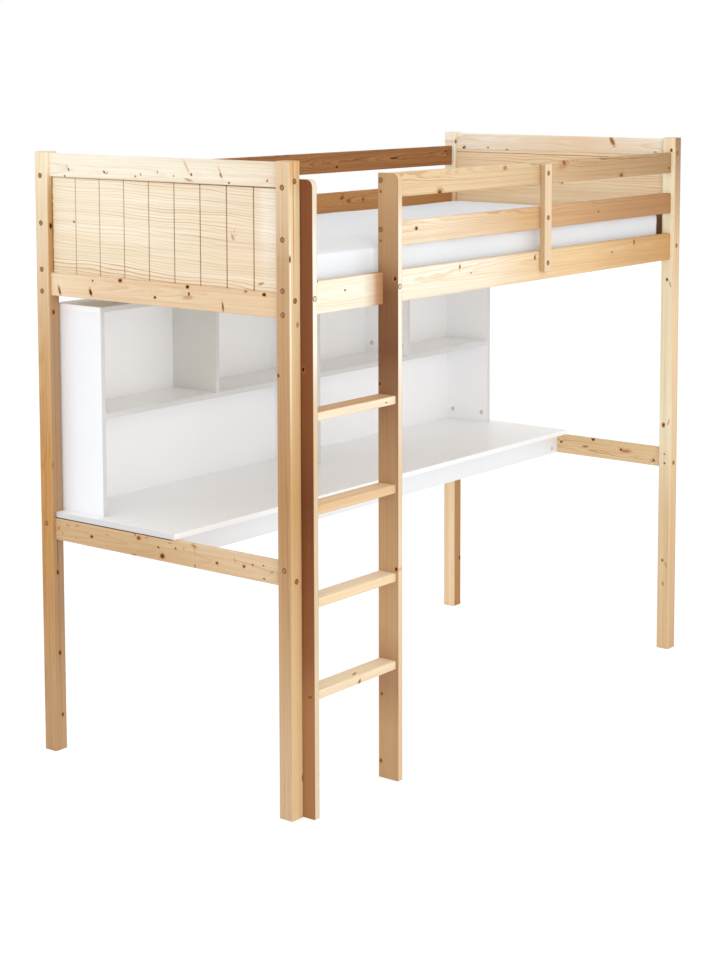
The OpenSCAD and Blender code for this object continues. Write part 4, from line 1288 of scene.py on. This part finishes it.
@dataclass
class Ladder(Timber):
    """Two stiles with flat rungs notched round them."""

    left_face: float = -0.996
    right_face: float = -0.622
    rung_face: float = -0.507
    height: float = 1.7555
    dark_face_depth: float = 0.0035
    skin_gap: float = 0.0002
    rung_half: float = 0.0125

    def skin(self, face: float, color: Color, shares: Shares) -> StainAndShade:
        """Darker tone in a stile's left face, down to a small depth."""
        return StainAndShade(color, shares, Axis.LENGTH, face + self.skin_gap, face + self.dark_face_depth)

    def left_stile(self) -> Pine:
        """Left stile: near-white sapwood in front, and a dark tone on its outer face.

        Returns:
            The stile's pine.
        """
        x = self.left_face
        return Pine(
            "ladder_stile_left", Axis.HEIGHT, (0.06, 0.02), (251, 241, 225), (238, 212, 176), 0.003, 0.35, 0.004,
            0.004, seed=60.0,
            knots=knots_on(Axis.LENGTH, x, (-0.482, 1.244, 4.6, 1.4, 1), (-0.503, 0.344, 3, 1.2, 0.7)),
            stains_and_shades=(
                StainAndShade((220, 195, 156), (0, 0.66, 0.3, 0.68, 0.5, 0.9, 0.75, 0.85, 1, 1, 1.15, 0.85, 1.3, 0.05, 1.58,
                      0.05, 1.66, 0.45, 1.75, 0.5)),
                self.skin(x, (132, 80, 48), (0, 1, self.height, 1)),
                self.skin(x, (104, 60, 36), (0.72, 0, 0.88, 0.6, 0.98, 0.3, 1.1, 0)),
                self.skin(x, (176, 126, 86), (0, 1, 0.32, 0.9, 0.45, 0.3, 0.7, 0))))

    def right_stile(self) -> Pine:
        """Right stile: tan to brown on its left face, darkest under the guards, and cream in front.

        Returns:
            The stile's pine.
        """
        x = self.right_face
        return Pine(
            "ladder_stile_right", Axis.HEIGHT, (0.06, 0.02), (253, 243, 227), (236, 202, 158), 0.003, 0.35, 0.004,
            0.004, seed=61.0,
            knots=knots_on(
                Axis.LENGTH, x, (-0.505, 1.459, 4.6, 1.3, 1), (-0.45, 1.155, 4.2, 1.3, 0.9),
                (-0.456, 0.249, 3.6, 1.3, 0.7), (-0.452, 0.049, 4, 1.3, 0.7), (-0.509, 0.624, 4, 1.3, 1)),
            stains_and_shades=(
                StainAndShade((228, 194, 152), (0, 0.95, 0.3, 0.9, 0.5, 0.75, 0.7, 0.6, 0.9, 0.8, 1.1, 0.4, 1.25, 0, 1.6, 0,
                      1.7, 0.85, self.height, 0.9)),
                self.skin(x, (199, 160, 118), (0, 1, self.height, 1)),
                self.skin(x, (168, 126, 92), (0.15, 0, 0.28, 0.7, 0.36, 0.5, 0.45, 0)),
                self.skin(x, (122, 78, 50), (0.6, 0, 0.9, 0.25, 1.1, 0.6, 1.25, 0.95, 1.42, 0.85, 1.52, 0.3, 1.7, 0))))

    def rungs(self) -> List[Pine]:
        """Pine of the four rungs: cream fronts and golden tops, the upper two browner.

        Returns:
            The four rungs.
        """
        marks = {1: knots_on(Axis.WIDTH, self.rung_face, (-0.789, 0.336, 4, 1.5, 0.5, 60, 0.9))
                 + knots_on(Axis.HEIGHT, 0.355, (-0.787, -0.487, 3, 3.4, 0.4, 20, 0.8)),
                 4: knots_on(Axis.WIDTH, self.rung_face, (-0.665, 1.112, 2, 1.3, 0.7))}
        tones = (((255, 234, 200), (247, 227, 196)), ((255, 232, 199), (244, 215, 174)),
                 ((246, 214, 172), (232, 198, 154)), ((226, 190, 146), (251, 231, 204)))
        rungs = []
        for number, (top, front) in enumerate(tones, 1):
            node = f"ladder_rung_{number}"
            level = middle_of(node).z + self.rung_half
            golden = StainAndShade(top, (-1, 1, -0.6, 1), Axis.HEIGHT, level - self.skin_gap, level - 0.003)
            rungs.append(Pine(node, Axis.LENGTH, (0.03, -0.035), front, (210, 160, 104), 0.0028, 0.5, 0.004, 0.008,
                              marks.get(number, ()), (golden,), seed=61.5 + number))
        return rungs

    def boards(self) -> List[Pine]:
        """Pine of the stiles and rungs."""
        return [self.left_stile(), self.right_stile()] + self.rungs()


@dataclass
class Desk:
    """White desk top on a rear pine rail, with an apron under its front."""

    front_y: float = -0.025

    def build(self) -> None:
        """Dresses the top, apron and rear rail."""
        WhiteBoard("desk_top", band_front=self.front_y, rough=0.3, gloss=0.5, shaded_face_axis=Axis.LENGTH).dress()
        WhiteBoard("desk_apron", (240, 242, 245)).dress()
        Pine("desk_rear_rail", Axis.LENGTH, (0.05, 0.004), (226, 188, 138), (192, 144, 92), 0.0048, 0.5, slant=0.02,
             seed=70.0, knots=scattered(70, "desk_rear_rail", Axis.WIDTH, 9)).dress()


@dataclass
class Bookcase:
    """White bookcase on the desk: two rows of compartments with a thin back."""

    front_y: float = 0.2935
    # Both boards are painted a little darker than the others: painted shade.
    tones: Tuple[Tuple[str, Color], ...] = (
        ("case_divider_left", (226, 225, 219)), ("case_side_left", (246, 248, 252)))
    boards: Tuple[str, ...] = ("case_side_left", "case_side_right", "case_top", "case_shelf", "case_divider_left",
                               "case_divider_middle", "case_divider_right", "case_divider_low")

    def build(self) -> None:
        """Dresses each board, with the seam of its front edge band, and the back."""
        for node in self.boards:
            tone = dict(self.tones).get(node, WhiteBoard.color)
            WhiteBoard(node, tone, self.front_y, shaded_face_axis=Axis.WIDTH).dress()
        WhiteBoard("case_back", rough=0.45).dress()


class Turned:
    """Round parts made by turning a profile about an axis."""

    def __init__(self, name: str, steps: int = 32) -> None:
        """Starts an empty mesh, with a number of faces round each part."""
        self.name, self.steps, self.mesh = name, steps, bmesh.new()

    def add(self, profile: Sequence[Tuple[float, float]], middle: Vector, out: Vector,
            finishes: Sequence[int] = ()) -> None:
        """Turns a profile, given as radius and height, about a line.

        Args:
            profile: Points from the centre of the face to the far end.
            middle: Point on the axis at height nought.
            out: Direction of the axis.
            finishes: Number of the finish for each stretch of the profile, if it isn't the first.
        """
        side = out.orthogonal().normalized()
        up = out.cross(side).normalized()
        turns = [2 * math.pi * k / self.steps for k in range(self.steps)]
        rings = []
        for radius, height in profile:
            center = middle + out * height
            if radius < TOUCH:
                rings.append([self.mesh.verts.new(center)] * self.steps)
            else:
                rings.append([self.mesh.verts.new(center + radius * (side * math.cos(a) + up * math.sin(a)))
                              for a in turns])
        for index, (near, far) in enumerate(zip(rings, rings[1:])):
            for k in range(self.steps):
                beside = (k + 1) % self.steps
                corners = list(dict.fromkeys((near[k], near[beside], far[beside], far[k])))
                if len(corners) > 2:
                    self.mesh.faces.new(corners).material_index = finishes[index] if finishes else 0

    def finish(self, *materials: bpy.types.Material) -> bpy.types.Object:
        """Makes the object with its finishes, smooth where its faces meet at a low angle.

        Args:
            materials: Finishes of the piece.

        Returns:
            The piece.
        """
        piece = add_form(self.name, self.mesh, *materials)
        piece.data.set_sharp_from_angle(angle=SHARP)
        return piece


@dataclass
class Part:
    """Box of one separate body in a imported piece."""

    points: List[Vector]

    def __post_init__(self) -> None:
        """Measures the box."""
        self.low = Vector([min(p[a] for p in self.points) for a in range(3)])
        self.high = Vector([max(p[a] for p in self.points) for a in range(3)])
        self.size = self.high - self.low
        self.middle = (self.low + self.high) / 2
        self.axis = min(range(3), key=lambda a: self.size[a])

    def end(self, on_high: bool) -> Tuple[Vector, Vector]:
        """Middle of an end face and the way out of it, on the thinnest axis's high or low side.

        Args:
            on_high: Whether the face is on the high side.

        Returns:
            The point and the direction.
        """
        out, middle = Vector((0.0, 0.0, 0.0)), self.middle.copy()
        out[self.axis] = 1.0 if on_high else -1.0
        middle[self.axis] = (self.high if on_high else self.low)[self.axis]
        return middle, out


def loose_parts(node: str) -> List[Part]:
    """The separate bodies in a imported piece.

    Args:
        node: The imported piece.

    Returns:
        A part for each body.
    """
    mesh = bmesh.new()
    mesh.from_mesh(frame["nodes"][node].data)
    bmesh.ops.remove_doubles(mesh, verts=mesh.verts, dist=TOUCH)
    seen, parts = set(), []
    for start in mesh.verts:
        if start in seen:
            continue
        seen.add(start)
        pool, points = [start], []
        while pool:
            corner = pool.pop()
            points.append(corner.co.copy())
            for edge in corner.link_edges:
                other = edge.other_vert(corner)
                if other not in seen:
                    seen.add(other)
                    pool.append(other)
        parts.append(Part(points))
    mesh.free()
    return parts


@dataclass
class Fittings:
    """Moulded cover caps, cam covers, bolts, nuts and dowels."""

    cap_radius: float = 0.0075
    cap_proud: float = 0.001
    cap_depth: float = 0.0035
    pale_before: float = -0.511
    # The rim colour is painted shade: the dark ring of the gap round each cap, laid on its groove, rim and stub.
    cap_colors: Tuple[Tuple[str, Color], ...] = (
        ("cap", (162, 106, 58)), ("cap_rim_shade", (98, 58, 30)), ("cap_pale", (232, 198, 150)))
    cam_radius: float = 0.0085
    cam_proud: float = 0.0006
    cam_least: float = 0.01
    cam_most: float = 0.02
    boards_with_cams: Tuple[str, ...] = Bookcase.boards + ("desk_apron",)

    def cap_profile(self) -> List[Tuple[float, float]]:
        """Profile of a cover cap: a shallow dome, a fine groove, a rolled rim and its stub in the hole.

        Returns:
            Pairs of radius and height.
        """
        shape = [(0.8 * math.sin(a), 0.2 + 0.8 * math.cos(a)) for a in (math.radians(15 * k) for k in range(7))]
        shape += [(0.84, 0.05), (0.88, 0.25), (0.95, 0.25), (0.985, 0.1), (1.0, -0.15)]
        stub = self.cap_proud - self.cap_depth
        return [(self.cap_radius * a, self.cap_proud * b) for a, b in shape] + [(self.cap_radius, stub), (0.0, stub)]

    def cover_caps(self) -> None:
        """Moulds a cap in each capped hole, with a pale dome on the ladder's front."""
        caps, profile = Turned("cover_caps_moulded"), self.cap_profile()
        for part in loose_parts("cover_caps"):
            top = [p for p in part.points if p[part.axis] > part.high[part.axis] - TOUCH]
            pointed = max((p - part.middle).length for p in top) < self.cap_radius * 0.6
            middle, out = part.end(pointed)
            dome = 2 if middle.y < self.pale_before else 0
            caps.add(profile, middle - out * self.cap_proud, out, [dome] * 5 + [1] * (len(profile) - 6))
        finishes = [MouldedPlastic(name, color, 0.34).material() for name, color in self.cap_colors]
        rest_on_body(caps.finish(*finishes), "cap_plastic", "cover_caps")

    def cam_covers(self) -> None:
        """Lays a thin domed cover on the mouth of each cam lock."""
        covers = Turned("cam_covers")
        dome = ((0.0, 1.0), (0.4, 0.98), (0.75, 0.9), (0.92, 0.7), (0.99, 0.3), (1.0, 0.0), (0.0, 0.0))
        profile = [(self.cam_radius * a, self.cam_proud * b) for a, b in dome]
        faces = [corner for node in self.boards_with_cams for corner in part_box(node)]
        for part in loose_parts("cam_locks"):
            if part.size[part.axis] < self.cam_least or max(part.size) > self.cam_most:
                continue
            on_high = any(abs((part.high - corner)[part.axis]) < 2 * TOUCH for corner in faces)
            covers.add(profile, *part.end(on_high))
        finish = MouldedPlastic("cam_cover", (214, 211, 204), 0.5).material()
        rest_on_body(covers.finish(finish), "cam_white")

    def build(self) -> None:
        """Makes the caps and covers, and dresses the hardware."""
        self.cover_caps()
        self.cam_covers()
        steel = ZincPlate().material()
        for node in ("bolts", "nuts"):
            dress(node, steel)
        dress("dowels", BeechDowel().material())
        dress("cam_locks", MouldedPlastic("cam", (206, 203, 197), 0.45).material())


@dataclass
class Mattress:
    """Foam mattress in a cotton cover, crowned and a little uneven."""

    low: Point = (-1.0, -0.4335, 1.4298)
    high: Point = (1.0, 0.4665, 1.5498)
    inset: float = 0.003
    corner: float = 0.032
    edge: float = 0.015
    crown: float = 0.003
    crown_reach: float = 0.4
    waist: float = 0.0015
    least_corner: float = 0.012
    margin: float = 0.001
    voxel: float = 0.011
    pressure: float = 4.0
    frames: int = 20
    most_swell: float = 0.0075
    dent: float = 0.0022
    ripple: float = 0.0006
    spare: float = 0.002
    most_crown: float = 0.009

    def outline(self, inset: float) -> List[Tuple[float, float]]:
        """Rounded outline of the mattress, taken in by a distance.

        Args:
            inset: The distance.

        Returns:
            The points.
        """
        radius = max(self.corner - inset, self.least_corner)
        x0, y0 = (v + inset + radius for v in self.low[:2])
        x1, y1 = (v - inset - radius for v in self.high[:2])
        corners = ((x1, y1, 0), (x0, y1, 90), (x0, y0, 180), (x1, y0, 270))
        turns = [(x, y, math.radians(start + t)) for x, y, start in corners for t in range(0, 91, 10)]
        return [(x + radius * math.cos(a), y + radius * math.sin(a)) for x, y, a in turns]

    def shell(self) -> bpy.types.Object:
        """Closed form of the mattress before it is blown up: flat below, drawn in at mid height, crowned on top.

        Returns:
            The form.
        """
        base, top = self.low[2] + self.margin, self.high[2] - self.margin
        height, edge = top - base, self.edge
        rings = [(self.inset + edge * 0.5, base)]
        rings += [(self.inset + edge * 0.5 * (1 - math.sin(a)), base + edge * 0.5 * (1 - math.cos(a)))
                  for a in map(math.radians, (30, 60, 90))]
        rings += [(self.inset + self.waist * math.sin(math.pi * f), base + edge * 0.5 + f * (height - edge * 1.5))
                  for f in (0.25, 0.5, 0.75, 1.0)]
        rings += [(self.inset + edge * (1 - math.cos(a)), top - edge * (1 - math.sin(a)))
                  for a in map(math.radians, (20, 40, 60, 80))]
        rings += [(self.inset + edge + (self.crown_reach - edge) * f, top + self.crown * math.sin(f * math.pi / 2))
                  for f in (0.15, 0.4, 0.7, 1.0)]
        mesh = bmesh.new()
        loops = [[mesh.verts.new((x, y, z)) for x, y in self.outline(inset)] for inset, z in rings]
        for near, far in zip(loops, loops[1:]):
            for k in range(len(near)):
                mesh.faces.new((near[k - 1], near[k], far[k], far[k - 1]))
        mesh.faces.new(list(reversed(loops[0])))
        mesh.faces.new(loops[-1])
        return add_form("mattress_padded", mesh)

    def settle(self, form: bpy.types.Object, modifier: bpy.types.Modifier) -> None:
        """Applies one modifier to the form."""
        with bpy.context.temp_override(object=form, active_object=form, selected_objects=[form]):
            bpy.ops.object.modifier_apply(modifier=modifier.name)

    def blow_up(self, form: bpy.types.Object) -> None:
        """Swells the remeshed form by cloth simulation, and keeps each point near where it started.

        Args:
            form: The remeshed form.
        """
        start = [v.co.copy() for v in form.data.vertices]
        cloth = form.modifiers.new("cover", "CLOTH")
        for name, value in (("use_pressure", True), ("uniform_pressure_force", self.pressure), ("quality", 4),
                            ("tension_stiffness", 12), ("bending_stiffness", 0.6)):
            setattr(cloth.settings, name, value)
        cloth.settings.effector_weights.gravity = 0.0
        cloth.collision_settings.use_collision = False
        cloth.point_cache.frame_start, cloth.point_cache.frame_end = 1, self.frames
        for step in range(1, self.frames + 1):
            bpy.context.scene.frame_set(step)
        self.settle(form, cloth)
        bpy.context.scene.frame_set(1)
        for vertex, before in zip(form.data.vertices, start):
            move = vertex.co - before
            if move.length > self.most_swell:
                move *= self.most_swell / move.length
            vertex.co = before + move

    def soften(self, form: bpy.types.Object) -> None:
        """Lays the underside flat, gives the cover shallow dents and keeps it off its neighbours.

        Args:
            form: The form.
        """
        base, top = self.low[2], self.high[2]
        for vertex in form.data.vertices:
            place = vertex.co
            upper = min(max((place.z - base) / (top - base), 0.0), 1.0)
            dent = noise.noise(Vector((place.x * 2.3, place.y * 3.1, 4.0)))
            ripple = noise.noise(Vector((place.x * 9.0, place.y * 9.0, place.z * 14.0)))
            place.z += upper * (self.dent * dent + self.ripple * ripple)
            for axis in (0, 1):
                place[axis] = min(max(place[axis], self.low[axis] - self.spare), self.high[axis] + self.spare)
            place.z = min(max(place.z, base), top + self.most_crown)

    def build(self) -> None:
        """Makes the padded mattress and hides the plain one."""
        form = self.shell()
        remesh = form.modifiers.new("even_faces", "REMESH")
        remesh.mode, remesh.voxel_size, remesh.adaptivity = "VOXEL", self.voxel, 0.0
        self.settle(form, remesh)
        self.blow_up(form)
        self.soften(form)
        smooth = form.modifiers.new("ease", "SMOOTH")
        smooth.factor, smooth.iterations = 0.5, 4
        self.settle(form, smooth)
        subdivide = form.modifiers.new("round", "SUBSURF")
        subdivide.levels = subdivide.render_levels = 1
        form.data.materials.clear()
        form.data.materials.append(MattressCover().material())
        form.data.polygons.foreach_set("use_smooth", [True] * len(form.data.polygons))
        rest_on_body(form, "mattress_cover", "mattress")


@dataclass
class Studio:
    """Pale floor, white surroundings and a soft lamp."""

    floor_size: float = 40.0
    floor_grey: float = 0.86
    seen_grey: float = 0.34
    seen_glow: float = 0.74
    surround: float = 1.0
    key_place: Point = (-4.2, -6.0, 2.0)
    key_aim: Point = (0.0, 0.0, 0.9)
    key_power: float = 135.0
    key_size: float = 4.5

    def seen_as(self, n: Nodes, other: Socket, seen: Socket, output: str) -> None:
        """Ends a tree in a mix that a camera, a mirror or glass sees, and another one for the rest.

        Args:
            n: The tree.
            other: Shader for all other rays.
            seen: Shader for the rays of a camera, a mirror or glass.
            output: Kind of the last node.
        """
        path = n.node("LightPath").outputs
        share = n.math("MAXIMUM", path["Is Camera Ray"], path["Is Glossy Ray"])
        share = n.math("MAXIMUM", share, path["Is Transmission Ray"])
        n.node(output, n.node("MixShader", share, other, seen).outputs[0])

    def world(self) -> None:
        """Makes the surroundings: soft light, which looks white."""
        world = bpy.data.worlds.new("studio")
        bpy.context.scene.world = world
        world.use_nodes = True
        n = Nodes(world.node_tree)
        n.tree.nodes.clear()
        light, white = (n.node("Background", WHITE, power).outputs[0] for power in (self.surround, 1.0))
        self.seen_as(n, light, white, "OutputWorld")

    def floor(self) -> None:
        """Lays the floor, which the camera sees as white with the bed's soft shadow."""
        half = self.floor_size / 2
        data = bpy.data.meshes.new("studio_floor")
        corners = [(-half, -half, 0.0), (half, -half, 0.0), (half, half, 0.0), (-half, half, 0.0)]
        data.from_pydata(corners, [], [(0, 1, 2, 3)])
        material = bpy.data.materials.new("studio_floor")
        material.use_nodes = True
        n = Nodes(material.node_tree)
        n.tree.nodes.clear()
        matt, seen = (n.node("BsdfDiffuse", (v, v, v)).outputs[0] for v in (self.floor_grey, self.seen_grey))
        glow = n.node("Emission", None, self.seen_glow).outputs[0]
        self.seen_as(n, matt, n.node("AddShader", seen, glow).outputs[0], "OutputMaterial")
        data.materials.append(material)
        add_object("studio_floor", data)

    def lamp(self) -> None:
        """Hangs one broad lamp before the bed's front left corner."""
        lamp = bpy.data.lights.new("key", "AREA")
        lamp.shape, lamp.size, lamp.energy = "SQUARE", self.key_size, self.key_power
        holder = add_object("key", lamp)
        holder.location = self.key_place
        aim = Vector(self.key_aim) - Vector(self.key_place)
        holder.rotation_euler = aim.to_track_quat("-Z", "Y").to_euler()

    def build(self) -> None:
        """Sets up the studio."""
        self.world()
        self.floor()
        self.lamp()
        bpy.context.scene.view_settings.view_transform = "Standard"


@dataclass
class Viewpoint:
    """Camera at the photograph's place, a little above the bed and before its left end."""

    place: Point = (-5.0824, -3.9411, 2.0694)
    turn: float = 52.764
    dip: float = 5.904
    lens: float = 75.447
    sensor: float = 36.0
    shift: Tuple[float, float] = (-0.05, -0.22)

    def build(self) -> None:
        """Sets the camera up."""
        data = bpy.data.cameras.new("camera")
        data.sensor_fit, data.sensor_width, data.lens = "AUTO", self.sensor, self.lens
        data.shift_x, data.shift_y = self.shift
        data.clip_start, data.clip_end = 0.1, 100.0
        camera = add_object("camera", data)
        camera.location = self.place
        camera.rotation_euler = (math.radians(90 - self.dip), 0.0, math.radians(-self.turn))
        bpy.context.scene.camera = camera


def main() -> None:
    """Dresses the cabin bed and sets it in the studio."""
    logging.basicConfig(level=logging.INFO, format="%(message)s")
    for assembly in (Viewpoint(), Posts(), EndFrames(), LongRails(), SlattedBase(), Ladder(), Desk(), Bookcase(),
                     Fittings(), Mattress(), Studio()):
        assembly.build()
        LOG.info("%s done", type(assembly).__name__)


if __name__ == "__main__":
    main()
